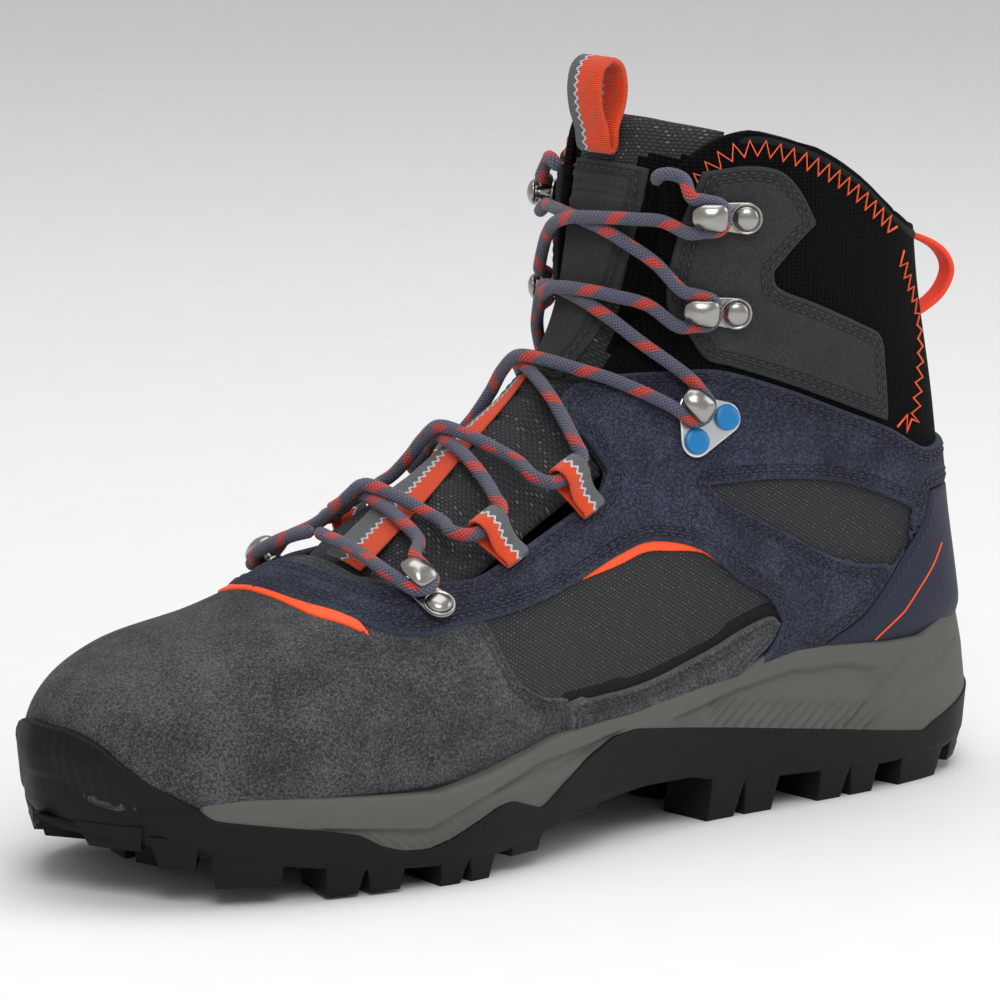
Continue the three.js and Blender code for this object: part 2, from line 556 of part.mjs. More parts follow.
function frameMatrix(frame) {
  return new THREE.Matrix4().makeBasis(frame.x, frame.y, frame.z).setPosition(frame.origin);
}

function cylinderSolid(radius, from, to, x = 0, y = 0, sides = 8) {
  const g = new THREE.CylinderGeometry(radius, radius, to - from, sides);
  g.rotateX(Math.PI / 2);
  g.translate(x, y, (from + to) / 2);
  return geometrySolid(g);
}

function domeSolid(radius, base, height, x = 0, y = 0, sides = 10) {
  const profile = [[0, 0], [radius, 0], [radius * 0.8, height * 0.7], [0, height]];
  const g = new THREE.LatheGeometry(profile.map(([r, h]) => new THREE.Vector2(r, h)), sides);
  g.rotateX(Math.PI / 2);
  g.translate(x, y, base);
  return geometrySolid(g);
}

function boxSolid(x0, x1, y0, y1, z0, z1) {
  const g = new THREE.BoxGeometry(x1 - x0, y1 - y0, z1 - z0);
  g.translate((x0 + x1) / 2, (y0 + y1) / 2, (z0 + z1) / 2);
  return geometrySolid(g);
}

function placed(solid, frame) {
  return solid.transform(frameMatrix(frame).elements);
}

const plateTop = PLATE_LIFT + PLATE_THICK;
const laceLevel = plateTop + 0.35 + LACE_DIA / 2;
const capBase = laceLevel + LACE_DIA / 2 + 0.3;
const HOOKS = [
  { name: 'hook_top', u: 11.45, angle: 42, rivets: [[9.6, 0]] },
  { name: 'hook_middle', u: 9.85, angle: 42, rivets: [[9.6, 0]] },
  { name: 'hook_lower', u: 8.3, angle: 46, rivets: [[9.4, 4.2], [6.6, -6.4]] },
  { name: 'lace_ring', u: 4.2, angle: 38, rivets: [[8.6, 0]] },
];
const lacing = new THREE.Group();
lacing.name = 'lacing';
boot.add(lacing);

const frames = {};
for (const [side, sign] of SIDES) {
  for (const hook of HOOKS) {
    const frame = guideFrame(hook.u, sign * hook.angle);
    frames[`${hook.name}_${side}`] = frame;
    const flip = frame.y.z < 0 ? -1 : 1;
    let metal = cylinderSolid(HOOK_POST_R, PLATE_LIFT, capBase + 0.4)
      .add(cylinderSolid(3.2, PLATE_LIFT, plateTop))
      .add(domeSolid(HOOK_CAP_R, capBase, 2.6));
    hook.rivets.forEach(([x, y], i) => {
      metal = metal.add(cylinderSolid(RIVET_R + 0.9, PLATE_LIFT, plateTop, x, y * flip));
      metal = metal.add(boxSolid(0, x, y * flip * 0.5 - 2.2, y * flip * 0.5 + 2.2, PLATE_LIFT, plateTop));
      const rivet = domeSolid(RIVET_R, plateTop + 0.1, 1.6, x, y * flip);
      const number = hook.rivets.length > 1 ? `_${i + 1}` : '';
      const finish = hook.name === 'hook_lower' ? 'blue' : 'nickel';
      addMesh(lacing, `${hook.name}_rivet${number}_${side}`, placed(rivet, frame), finish);
    });
    addMesh(lacing, `${hook.name}_${side}`, placed(metal, frame), 'nickel');
  }
}

// sewn webbing eyes, orange and grey, half way up the eyestay
const EYES = [{ name: 'webbing_eye_lower', u: 5.15, angle: 37 }, { name: 'webbing_eye_upper', u: 6.3, angle: 39 }];
const eyeRadius = 3.6;
const eyeHole = 2.6;
const eyeLevel = PLATE_LIFT + eyeRadius;
for (const [side, sign] of SIDES) {
  for (const eye of EYES) {
    const frame = guideFrame(eye.u, sign * eye.angle);
    frames[`${eye.name}_${side}`] = frame;
    const ring = new THREE.CylinderGeometry(eyeRadius, eyeRadius, 8, 12);
    const hole = new THREE.CylinderGeometry(eyeHole, eyeHole, 12, 10);
    const lift = new THREE.Matrix4().makeTranslation(0, 0, eyeLevel);
    const tab = boxSolid(0, 11, -4, 4, PLATE_LIFT, PLATE_LIFT + 1.1);
    const solid = geometrySolid(ring, lift).add(tab).subtract(geometrySolid(hole, lift));
    addMesh(lacing, `${eye.name}_${side}`, placed(solid, frame), 'orange');
  }
}

// ---- the lace, one cord in two runs that meet at the lowest bar -----------------------------------
function hookTurn(frame, upward) {
  const r = HOOK_POST_R + 0.95 + LACE_DIA / 2;
  const s = upward * (frame.y.z < 0 ? -1 : 1);
  const local = [[-5, -4.6, 0], [-1.5, -r, 0], [r * 0.7, -r * 0.75, 0], [r + 0.1, 0, 0], [r * 0.7, r * 0.75, 0],
    [-1.5, r, 0], [-5, 4.6, 0]];
  return local.map(([x, y, z]) => frame.origin.clone().addScaledVector(frame.x, x)
    .addScaledVector(frame.y, y * s).addScaledVector(frame.z, laceLevel + z));
}

function eyeTurn(frame, upward) {
  const s = upward * (frame.y.z < 0 ? -1 : 1);
  const local = [[-5, -8.6, -0.6], [-1.4, -6.8, 0], [0, -4, 0], [0, 4, 0], [-1.4, 6.8, 0], [-5, 8.6, -0.6]];
  return local.map(([x, y, z]) => frame.origin.clone().addScaledVector(frame.x, x)
    .addScaledVector(frame.y, y * s).addScaledVector(frame.z, eyeLevel + z));
}

function crossing(from, to, sign, depth) {
  const side = HOOKS[3].angle;
  return [-0.72, -0.48, -0.24, 0, 0.24, 0.48, 0.72].map((t) => {
    const share = (t + 1) / 2;
    const u = THREE.MathUtils.lerp(from, to, share);
    const d = LOW + (LACE_SIDE - LOW) * Math.abs(t) ** 1.6 + (depth - LOW) * Math.exp(-((t / 0.3) ** 2));
    return offLast(u, -sign * t * side, d);
  });
}

// how far the lace's centre lies off the last: against the tongue, over the other run, and near the guides
const LOW = 1.85 + LACE_DIA / 2;
const HIGH = LOW + LACE_DIA * 1.8 - 2.4;
const LACE_SIDE = LOW + 1;

function laceRun(startSign, depths) {
  const stops = [HOOKS[3], EYES[0], EYES[1], HOOKS[2], HOOKS[1], HOOKS[0]];
  const points = [];
  let sign = startSign;
  points.push(offLast(4.02, sign * 1.2, 5.2), offLast(4.0, sign * 18, 5));
  stops.forEach((stop, i) => {
    const side = sign < 0 ? 'lateral' : 'medial';
    const frame = frames[`${stop.name}_${side}`];
    const isEye = stop.name.startsWith('webbing');
    points.push(...(isEye ? eyeTurn(frame, 1) : hookTurn(frame, 1)));
    if (i < stops.length - 1) {
      points.push(...crossing(stop.u + 0.25, stops[i + 1].u - 0.25, sign, depths[i]));
      sign = -sign;
    }
  });
  const tail = [[11.93, 32.5, 4.6], [11.95, 27, 4.6], [11.84, 23.2, 3.6], [11.7, 23.4, 2.3]];
  tail.forEach(([u, a, d]) => points.push(offLast(u, sign * a, d)));
  return points;
}

function laceSolid(points) {
  const curve = new THREE.CatmullRomCurve3(points, false, 'centripetal');
  const circle = shapeOf(range(0, 5, 5).map((k) => [Math.cos(k * Math.PI / 3), Math.sin(k * Math.PI / 3)]
    .map((v) => v * LACE_DIA / 2)));
  const geometry = new THREE.ExtrudeGeometry(circle, { steps: LACE_STEPS, extrudePath: curve });
  return geometrySolid(geometry);
}

addMesh(lacing, 'lace_run_a', laceSolid(laceRun(-1, [LOW, HIGH, LOW, HIGH, LOW])), 'lace');
addMesh(lacing, 'lace_run_b', laceSolid(laceRun(1, [HIGH, LOW, HIGH, LOW, HIGH])), 'lace');

// ---- pull loops ---------------------------------------------------------------------------------
// a closed band of webbing: outline of the loop seen edge on, thickness t, width w
function bandSolid(outer, width, matrix) {
  const ring = smooth(outer, true, 28);
  const inner = ring.map(([a, b], i) => {
    const p = ring[(i + 27) % 28];
    const q = ring[(i + 1) % 28];
    const n = new THREE.Vector2(-(q[1] - p[1]), q[0] - p[0]).normalize();
    return [a + n.x * WEBBING, b + n.y * WEBBING];
  });
  const shape = shapeOf(ring);
  shape.holes.push(new THREE.Path(inner.map(([a, b]) => new THREE.Vector2(a, b))));
  const geometry = new THREE.ExtrudeGeometry(shape, { depth: width, bevelEnabled: false });
  geometry.translate(0, 0, -width / 2);
  return geometrySolid(geometry, matrix);
}

// drawn in a plane with its height along the first axis turned upright
const loops = new THREE.Group();
loops.name = 'pull_loops';
boot.add(loops);
const tongueFoot = offLast(12.1, 0, 3.4);
const tongueLoopAt = new THREE.Matrix4().makeTranslation(tongueFoot.x, tongueFoot.y, tongueFoot.z)
  .multiply(new THREE.Matrix4().makeRotationX(Math.PI / 2));
addMesh(loops, 'tongue_loop', bandSolid([[0, -0.4], [1.8, 0.8], [2.4, 6.4], [4.5, 12], [5.1, 17.6], [3.6, 22.8], [0, 24.8],
  [-3.8, 22.8], [-5.4, 17.6], [-4.8, 11.2], [-2.8, 5.6], [-1.8, 0.8]], 12.5, tongueLoopAt), 'orange');

const heelAt = new THREE.Matrix4().makeTranslation(onLast(11.7, 180).x + 1.4, 0, 0)
  .multiply(new THREE.Matrix4().makeRotationZ(THREE.MathUtils.degToRad(-18)))
  .multiply(new THREE.Matrix4().makeRotationX(Math.PI / 2));
addMesh(loops, 'heel_loop', bandSolid([[3, 118], [10, 120], [19, 126], [22, 133], [19, 139], [10, 143.5], [1, 144],
  [0.6, 138], [2, 130], [2.6, 122]], 7, heelAt), 'orange');

// the origin is on the ground, under the middle of the whole boot
const whole = new THREE.Box3().setFromObject(boot);
const middleOf = whole.getCenter(new THREE.Vector3());
boot.position.set(-middleOf.x, -middleOf.y, -whole.min.z);

export default boot;
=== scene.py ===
# A mid-cut hiking boot for the left foot: suede and mesh upper, lugged sole, hooks, laces and pull loops.
# Lengths are drawn in millimetres on the boot's last and turned to metres when a mesh is made.
import math
import bpy
import bmesh
import numpy as np
from mathutils import Matrix, Vector, geometry


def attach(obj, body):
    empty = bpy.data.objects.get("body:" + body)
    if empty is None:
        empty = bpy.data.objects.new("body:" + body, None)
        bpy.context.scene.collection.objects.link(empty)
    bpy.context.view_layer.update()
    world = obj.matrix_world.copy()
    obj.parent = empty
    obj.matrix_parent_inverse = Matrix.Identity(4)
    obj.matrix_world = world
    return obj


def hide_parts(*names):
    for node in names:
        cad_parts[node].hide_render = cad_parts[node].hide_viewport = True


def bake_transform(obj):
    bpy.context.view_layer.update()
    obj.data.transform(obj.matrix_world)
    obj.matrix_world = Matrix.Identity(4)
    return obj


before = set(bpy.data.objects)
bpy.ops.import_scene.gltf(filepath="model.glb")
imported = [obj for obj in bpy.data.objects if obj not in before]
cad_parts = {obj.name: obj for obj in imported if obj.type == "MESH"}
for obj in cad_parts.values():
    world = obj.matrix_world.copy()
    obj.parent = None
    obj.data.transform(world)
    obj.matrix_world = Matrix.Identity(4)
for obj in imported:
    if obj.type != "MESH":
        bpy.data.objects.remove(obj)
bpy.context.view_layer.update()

# ---- units, colours and nodes ---------------------------------------------------------------------
# the last's own zero lies a little off the middle of the whole boot
MIDDLE = np.array([3.7693, -2.4561, 0.0])


def metres(points):
    return (np.asarray(points, float) - MIDDLE) / 1000


def paint(code):
    """An sRGB hex colour as linear RGBA."""
    parts = [int(code[i:i + 2], 16) / 255 for i in (1, 3, 5)]
    return [c / 12.92 if c <= 0.04045 else ((c + 0.055) / 1.055) ** 2.4 for c in parts] + [1.0]


def add(tree, kind, links=None, **settings):
    """One node, with its settings and what goes into its sockets."""
    made = tree.nodes.new(kind)
    for key, value in settings.items():
        setattr(made, key, value)
    for socket, value in (links or {}).items():
        if isinstance(value, bpy.types.NodeSocket):
            tree.links.new(value, made.inputs[socket])
        else:
            made.inputs[socket].default_value = value
    return made


def smoothstep(t):
    t = np.clip(t, 0, 1)
    return t * t * (3 - 2 * t)


# ---- the last -------------------------------------------------------------------------------------
# station, ridge x z, heel side x z, widest point's share of the height,
# outer half width, inner half width, roundness above on the outer and inner side, and below
LAST = np.array([
    [0.00, -141, 36, -141, 30, 0.50, 1, 1, 2.0, 2.0, 2.0],
    [0.25, -140, 42.5, -140, 25, 0.45, 15, 11.5, 2.0, 2.0, 2.4],
    [0.60, -137, 47.5, -137, 23, 0.42, 24, 18.5, 2.0, 2.1, 2.8],
    [1.00, -131, 52.5, -131, 21, 0.40, 31, 26, 2.1, 2.2, 3.2],
    [2.00, -112, 59.5, -112, 20, 0.34, 42, 39.5, 2.2, 2.25, 4.0],
    [3.00, -88, 66, -88, 20, 0.28, 48.5, 45, 2.2, 1.75, 4.6],
    [4.00, -60, 77, -62, 20, 0.25, 51, 46, 2.1, 1.5, 5.0],
    [5.00, -34, 89.5, -32, 21, 0.23, 48.5, 43, 2.0, 1.45, 4.6],
    [6.00, -12, 101.5, 4, 23.5, 0.24, 42.5, 38, 2.0, 1.5, 4.4],
    [7.00, 6, 112, 50, 26.5, 0.28, 38.5, 36, 2.0, 1.6, 4.4],
    [8.00, 17, 122, 108, 28, 0.34, 37.5, 36, 2.1, 1.8, 4.0],
    [9.00, 24, 134, 141.8, 42, 0.36, 37, 36, 2.2, 2.1, 3.2],
    [10.0, 28, 146, 138.8, 70, 0.40, 38.5, 37.5, 2.3, 2.3, 2.6],
    [11.0, 31, 158, 134, 102, 0.42, 40, 39.5, 2.4, 2.4, 2.4],
    [12.0, 34, 170, 128.5, 133, 0.44, 40, 39.5, 2.5, 2.5, 2.3],
    [13.0, 38, 184, 125, 160, 0.45, 40, 39.5, 2.5, 2.5, 2.3],
])
KNOTS = LAST[:, 0]
TOP = KNOTS[-1]


def last_slopes():
    gap = np.diff(KNOTS)[:, None]
    rise = np.diff(LAST[:, 1:], axis=0) / gap
    slopes = np.zeros_like(LAST[:, 1:])
    slopes[0], slopes[-1] = rise[0], rise[-1]
    for i in range(1, len(LAST) - 1):
        w1 = 2 * gap[i, 0] + gap[i - 1, 0]
        w2 = gap[i, 0] + 2 * gap[i - 1, 0]
        same = rise[i - 1] * rise[i] > 0
        before = np.where(same, rise[i - 1], 1)
        after = np.where(same, rise[i], 1)
        slopes[i] = np.where(same, (w1 + w2) / (w1 / before + w2 / after), 0)
    return slopes


SLOPES = last_slopes()


def on_last(u, angle):
    """Points of the last: angle 0 on the ridge and shin, 90 on the inner side, -90 outer, 180 under and
    behind."""
    u, angle = np.broadcast_arrays(np.asarray(u, float), np.asarray(angle, float))
    s = np.clip(u, 0, TOP)
    i = np.clip(np.searchsorted(KNOTS, s, side="right") - 1, 0, len(LAST) - 2)
    h = KNOTS[i + 1] - KNOTS[i]
    t = (s - KNOTS[i]) / h
    row = ((2 * t ** 3 - 3 * t ** 2 + 1)[..., None] * LAST[i, 1:]
           + ((t ** 3 - 2 * t ** 2 + t) * h)[..., None] * SLOPES[i]
           + (3 * t ** 2 - 2 * t ** 3)[..., None] * LAST[i + 1, 1:]
           + ((t ** 3 - t ** 2) * h)[..., None] * SLOPES[i + 1])
    fx, fz, bx, bz, share, outer, inner, above, above_in, below = np.moveaxis(row, -1, 0)
    length = np.hypot(fx - bx, fz - bz)
    c, si = np.cos(np.radians(angle)), np.sin(np.radians(angle))
    power = 2 / np.where(c < 0, below, np.where(si > 0, above_in, above))
    reach = length * np.where(c >= 0, 1 - share, share)
    r = np.sign(c) * reach * np.abs(c) ** power
    y = np.sign(si) * np.where(si >= 0, inner, outer) * np.abs(si) ** power
    x = bx + (fx - bx) * share + (fx - bx) / length * r
    z = bz + (fz - bz) * share + (fz - bz) / length * r
    return np.stack([x, y, z], -1)


def last_normal(u, angle):
    u = np.asarray(u, float)
    along = on_last(np.minimum(u + 0.04, TOP), angle) - on_last(u - 0.04, angle)
    around = on_last(u, np.asarray(angle) + 1.5) - on_last(u, np.asarray(angle) - 1.5)
    n = np.cross(along, around)
    size = np.linalg.norm(n, axis=-1, keepdims=True)
    tip = (np.broadcast_to(u, n.shape[:-1]) < 0.05)[..., None]
    return np.where(tip, np.array([-1.0, 0, 0]), n / np.maximum(size, 1e-9))


def off_last(u, angle, d):
    return on_last(u, angle) + last_normal(u, angle) * np.asarray(d, float)[..., None]


# ---- drawing panels on the last -------------------------------------------------------------------
def rounded(points, step=1.5, corner=55):
    """A closed outline with its corners kept and the rest drawn as smooth curves."""
    p = np.array(points, float)
    n = len(p)
    back, ahead = p - np.roll(p, 1, 0), np.roll(p, -1, 0) - p
    turn = np.degrees(np.abs(np.arctan2(back[:, 0] * ahead[:, 1] - back[:, 1] * ahead[:, 0],
                                        (back * ahead).sum(1))))
    sharp = turn > corner
    out = []
    for i in range(n):
        p1, p2 = p[i], p[(i + 1) % n]
        p0 = 2 * p1 - p2 if sharp[i] else p[i - 1]
        p3 = 2 * p2 - p1 if sharp[(i + 1) % n] else p[(i + 2) % n]
        span = np.linalg.norm(p2 - p1)
        if span > 40:
            out.append(p1[None])
            continue
        t0, t1, t2, t3 = np.cumsum([0] + [max(np.linalg.norm(b - a), 1e-6) ** 0.5
                                          for a, b in ((p0, p1), (p1, p2), (p2, p3))])
        t = np.linspace(t1, t2, max(2, int(span / step) + 1), endpoint=False)[:, None]
        a1 = (t1 - t) / (t1 - t0) * p0 + (t - t0) / (t1 - t0) * p1
        a2 = (t2 - t) / (t2 - t1) * p1 + (t - t1) / (t2 - t1) * p2
        a3 = (t3 - t) / (t3 - t2) * p2 + (t - t2) / (t3 - t2) * p3
        b1 = (t2 - t) / (t2 - t0) * a1 + (t - t0) / (t2 - t0) * a2
        b2 = (t3 - t) / (t3 - t1) * a2 + (t - t1) / (t3 - t1) * a3
        out.append((t2 - t) / (t2 - t1) * b1 + (t - t1) / (t2 - t1) * b2)
    return np.concatenate(out)


def distance_to(line, q, closed=False):
    """Distance of 2-D points q to a polyline."""
    a = line if closed else line[:-1]
    b = np.roll(line, -1, 0) if closed else line[1:]
    best = np.full(len(q), 1e9)
    for p, r in zip(a, b):
        d = r - p
        t = np.clip(((q - p) @ d) / max(d @ d, 1e-12), 0, 1)
        best = np.minimum(best, ((q - p - t[:, None] * d) ** 2).sum(1))
    return np.sqrt(best)


def inside(line, q):
    """Distance inside a closed outline, negative outside it."""
    a, b = line, np.roll(line, -1, 0)
    odd = np.zeros(len(q), bool)
    for p, r in zip(a, b):
        if p[1] == r[1]:
            continue
        crosses = (p[1] > q[:, 1]) != (r[1] > q[:, 1])
        at = p[0] + (q[:, 1] - p[1]) * (r[0] - p[0]) / (r[1] - p[1])
        odd ^= crosses & (q[:, 0] < at)
    return np.where(odd, 1, -1) * distance_to(line, q, True)


def even_angles(count):
    fine = np.linspace(-180, 180, 7201)
    total = np.zeros(len(fine))
    for u in (3, 5, 7, 9, 11):
        step = np.linalg.norm(np.diff(on_last(u, fine), axis=0), axis=1)
        total[1:] += np.cumsum(step) / step.sum()
    return np.interp(np.linspace(0, total[-1], count + 1), total, fine)


def even_stations(spacing):
    fine = np.linspace(0, TOP, 2601)
    ridge = np.linalg.norm(np.diff(on_last(fine, 0), axis=0), axis=1)
    heel = np.linalg.norm(np.diff(on_last(fine, 180), axis=0), axis=1)
    total = np.concatenate([[0], np.cumsum(np.maximum(ridge, heel))])
    return np.interp(np.arange(0, total[-1], spacing), total, fine)


def grid(us, angles, closed):
    """Stations and angles as rows of points u, angle, with the triangles between them."""
    u, a = np.meshgrid(us, angles, indexing="ij")
    rows, cols = u.shape
    index = np.arange(rows * cols).reshape(rows, cols)
    if closed:
        index[:, -1] = index[:, 0]
    p, q, r, s = index[:-1, :-1], index[1:, :-1], index[1:, 1:], index[:-1, 1:]
    flip = (np.add.outer(np.arange(rows - 1), np.arange(cols - 1)) % 2).astype(bool)
    one = np.where(flip[..., None], np.stack([p, q, r], -1), np.stack([p, q, s], -1))
    two = np.where(flip[..., None], np.stack([p, r, s], -1), np.stack([q, r, s], -1))
    tris = np.concatenate([one.reshape(-1, 3), two.reshape(-1, 3)])
    return np.stack([u.ravel(), a.ravel()], 1), tris


def split_at(points, tris, column, level, snap=0.05):
    """Cuts triangles along a level of one column, so that the level runs along edges."""
    s = points[:, column] - level
    s[np.abs(s) < snap] = 0
    points[:, column] = s + level
    side = np.sign(s).astype(int)[tris]
    crossing = (side.min(1) < 0) & (side.max(1) > 0)
    kept, cut = tris[~crossing], tris[crossing]
    side = side[crossing]
    ends = np.stack([cut, np.roll(cut, -1, 1)], -1)
    crosses = side * np.roll(side, -1, 1) < 0
    pairs = np.sort(ends[crosses], -1)
    unique, back = np.unique(pairs, axis=0, return_inverse=True)
    a, b = s[unique[:, 0]], s[unique[:, 1]]
    t = (a / (a - b))[:, None]
    fresh = points[unique[:, 0]] * (1 - t) + points[unique[:, 1]] * t
    fresh[:, column] = level
    middle = np.full(crosses.shape, -1)
    middle[crosses] = len(points) + back.ravel()
    points = np.concatenate([points, fresh])
    pieces = [kept]
    double = crosses.sum(1) == 2
    for k in range(3):
        lone = double & crosses[:, k] & crosses[:, k - 1]
        v, m = cut[lone], middle[lone]
        v0, v1, v2 = v[:, k], v[:, (k + 1) % 3], v[:, (k + 2) % 3]
        m01, m20 = m[:, k], m[:, k - 1]
        pieces += [np.stack([v0, m01, m20], 1), np.stack([m01, v1, v2], 1), np.stack([m01, v2, m20], 1)]
        single = ~double & crosses[:, (k + 1) % 3]
        v, m12 = cut[single], middle[single][:, (k + 1) % 3]
        v0, v1, v2 = v[:, k], v[:, (k + 1) % 3], v[:, (k + 2) % 3]
        pieces += [np.stack([v0, v1, m12], 1), np.stack([v0, m12, v2], 1)]
    return points, np.concatenate(pieces)


def compact(points, tris):
    used, back = np.unique(tris, return_inverse=True)
    return points[used], back.reshape(tris.shape)

# ---- meshes ---------------------------------------------------------------------------------------
def plain_mesh(name, points, faces, finish, uv=None, edge=None, facing=None, mend=False):
    """An object at the origin with its place in its mesh; points in mm, faces triangles or quads."""
    mesh = bpy.data.meshes.new(name)
    mesh.from_pydata(metres(points).tolist(), [], [list(map(int, f)) for f in faces])
    if edge is not None:
        mesh.attributes.new("edge", "FLOAT", "POINT").data.foreach_set("value", np.asarray(edge, np.float32))
    if facing is not None:
        store = mesh.attributes.new("facing", "FLOAT_VECTOR", "POINT")
        store.data.foreach_set("vector", np.asarray(facing, np.float32).ravel())
    if uv is not None:
        corner = np.empty(len(mesh.loops), int)
        mesh.loops.foreach_get("vertex_index", corner)
        layer = mesh.uv_layers.new(name="cloth")
        uv = np.asarray(uv, np.float32)
        layer.data.foreach_set("uv", (uv if len(uv) == len(corner) else uv[corner]).ravel())
    made = bpy.data.objects.new(name, mesh)
    bpy.context.scene.collection.objects.link(made)
    if finish:
        mesh.materials.append(finish)
    if mend:
        shell = bmesh.new()
        shell.from_mesh(mesh)
        bmesh.ops.remove_doubles(shell, verts=shell.verts, dist=2e-6)
        bmesh.ops.recalc_face_normals(shell, faces=shell.faces)
        shell.to_mesh(mesh)
        shell.free()
    mesh.polygons.foreach_set("use_smooth", [True] * len(mesh.polygons))
    mesh.update()
    return made


def finish_modifiers(made):
    """Turns what the modifiers make into the object's own plain mesh."""
    bpy.context.view_layer.update()
    graph = bpy.context.evaluated_depsgraph_get()
    mesh = bpy.data.meshes.new_from_object(made.evaluated_get(graph))
    made.modifiers.clear()
    old = made.data
    made.data = mesh
    mesh.name = made.name
    bpy.data.meshes.remove(old)
    return made


def join(name, made):
    """Several meshes of one finish as one piece."""
    with bpy.context.temp_override(active_object=made[0], object=made[0], selected_editable_objects=made,
                                   selected_objects=made):
        bpy.ops.object.join()
    made[0].name = name
    made[0].data.name = name
    return made[0]


def placed(made, body, slot, *nodes):
    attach(made, body)
    if nodes:
        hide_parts(*nodes)
    return made


# ---- one panel of the upper -----------------------------------------------------------------------
FINE = 1.5
STATIONS, ANGLES = even_stations(FINE), even_angles(int(290 / FINE))
FORM, FORM_TRIS = grid(STATIONS, ANGLES, False)
SURFACE = on_last(FORM[:, 0], FORM[:, 1])
BED = np.array([[-170, 20], [-62, 20], [-32, 21], [4, 23.5], [50, 26.5], [108, 28], [170, 29]])


def field(outline, grow=0.0, holes=()):
    """How far inside a panel each point of the form lies."""
    flat = SURFACE[:, [0, 2]]
    s = inside(rounded(outline), flat) + grow
    for hole in holes:
        s = np.minimum(s, -inside(rounded(hole), flat))
    return s


def above_hem(lift=3.7):
    return SURFACE[:, 2] - np.interp(SURFACE[:, 0], BED[:, 0], BED[:, 1]) - lift


def on_side(sign, gap=0.3):
    return sign * SURFACE[:, 1] - gap


class Panel:
    """A piece of sheet lying on the last: where its field is over zero, between two heights."""

    def __init__(self, name, s, under, top, soft=1.0, puff=None, levels=(), square=0.45):
        self.name, self.under, self.top, self.soft, self.puff, self.square = (
            name, under, top, soft, puff, square)
        near = (s[FORM_TRIS] > -6 * FINE).any(1)
        points = np.column_stack([FORM, s])
        points, tris = compact(points, FORM_TRIS[near])
        points, tris = split_at(points, tris, 2, 0)
        tris = tris[points[tris, 2].mean(1) > 0]
        for level in sorted({0.25 * soft, 0.6 * soft, soft, *levels}):
            points, tris = split_at(points, tris, 2, level)
        self.points, self.tris = compact(points, tris)

    def height(self, points):
        t = np.clip(points[:, 2] / self.soft, 0, 1)
        rise = self.square + (1 - self.square) * np.sqrt(1 - (1 - t) ** 2)
        high = self.under + (self.top - self.under) * rise
        if self.puff is not None:
            high = high + self.puff(points)
        return high

    def uv(self, points):
        where = on_last(points[:, 0], points[:, 1])
        return where[:, [0, 2]] / 100

    def build(self, finish):
        points, tris = self.points, self.tris
        outer = off_last(points[:, 0], points[:, 1], self.height(points))
        key = np.round(on_last(points[:, 0], points[:, 1]), 3)
        _, first, same = np.unique(key, axis=0, return_index=True, return_inverse=True)
        tris = first[same.ravel()][tris]
        tris = tris[(tris[:, 0] != tris[:, 1]) & (tris[:, 1] != tris[:, 2]) & (tris[:, 0] != tris[:, 2])]
        low = self.under if self.puff is None else self.under + np.minimum(self.puff(points), 0)
        inner = off_last(points[:, 0], points[:, 1], np.broadcast_to(low, len(points)))
        n = len(points)
        ends = np.concatenate([tris[:, [0, 1]], tris[:, [1, 2]], tris[:, [2, 0]]])
        _, back, count = np.unique(np.sort(ends, 1), axis=0, return_inverse=True, return_counts=True)
        rim = ends[count[back.ravel()] == 1]
        walls = np.concatenate([np.column_stack([rim[:, 1], rim[:, 0], rim[:, 0] + n]),
                                np.column_stack([rim[:, 1], rim[:, 0] + n, rim[:, 1] + n])])
        faces = np.concatenate([tris, tris[:, ::-1] + n, walls])
        uv = np.tile(self.uv(points), (2, 1))
        edge = np.tile(points[:, 2], 2)
        used, back = np.unique(faces, return_inverse=True)
        return plain_mesh(self.name, np.concatenate([outer, inner])[used], back.reshape(-1, 3), finish,
                          uv[used], edge[used], mend=True)

    def line(self, level, keep=None, lift=0.0):
        """The line at one distance from the edge: points, their outward directions, and its edges."""
        points, tris = split_at(self.points.copy(), self.tris, 2, level)
        ends = np.concatenate([tris[:, [0, 1]], tris[:, [1, 2]], tris[:, [2, 0]]])
        on = np.abs(points[:, 2] - level) < 1e-6
        ends = np.unique(np.sort(ends[on[ends].all(1)], 1), axis=0)
        where = on_last(points[:, 0], points[:, 1])
        if keep is not None and len(ends):
            ends = ends[keep(where[ends].mean(1))]
        used, back = np.unique(ends, return_inverse=True)
        points = points[used]
        at = off_last(points[:, 0], points[:, 1], self.height(points) + lift)
        return at, last_normal(points[:, 0], points[:, 1]), back.reshape(-1, 2)


# ---- repeated small things, as geometry nodes -----------------------------------------------------
def tree_with(name, *sizes):
    """An empty tree with a geometry socket and named number inputs."""
    tree = bpy.data.node_groups.new(name, "GeometryNodeTree")
    tree.interface.new_socket("Geometry", in_out="INPUT", socket_type="NodeSocketGeometry")
    tree.interface.new_socket("Geometry", in_out="OUTPUT", socket_type="NodeSocketGeometry")
    for size, start in sizes:
        tree.interface.new_socket(size, in_out="INPUT", socket_type="NodeSocketFloat").default_value = start
    tree.interface.new_socket("Finish", in_out="INPUT", socket_type="NodeSocketMaterial")
    return tree


def run_tree(made, tree, finish, **sizes):
    """Runs a tree on an object, and leaves the result as its plain mesh."""
    modifier = made.modifiers.new(tree.name, "NODES")
    modifier.node_group = tree
    for item in tree.interface.items_tree:
        if item.in_out == "INPUT" and item.name == "Finish":
            modifier[item.identifier] = finish
        elif item.in_out == "INPUT" and item.name in sizes:
            modifier[item.identifier] = sizes[item.name]
    finish_modifiers(made)
    made.data.polygons.foreach_set("use_smooth", [True] * len(made.data.polygons))
    return made


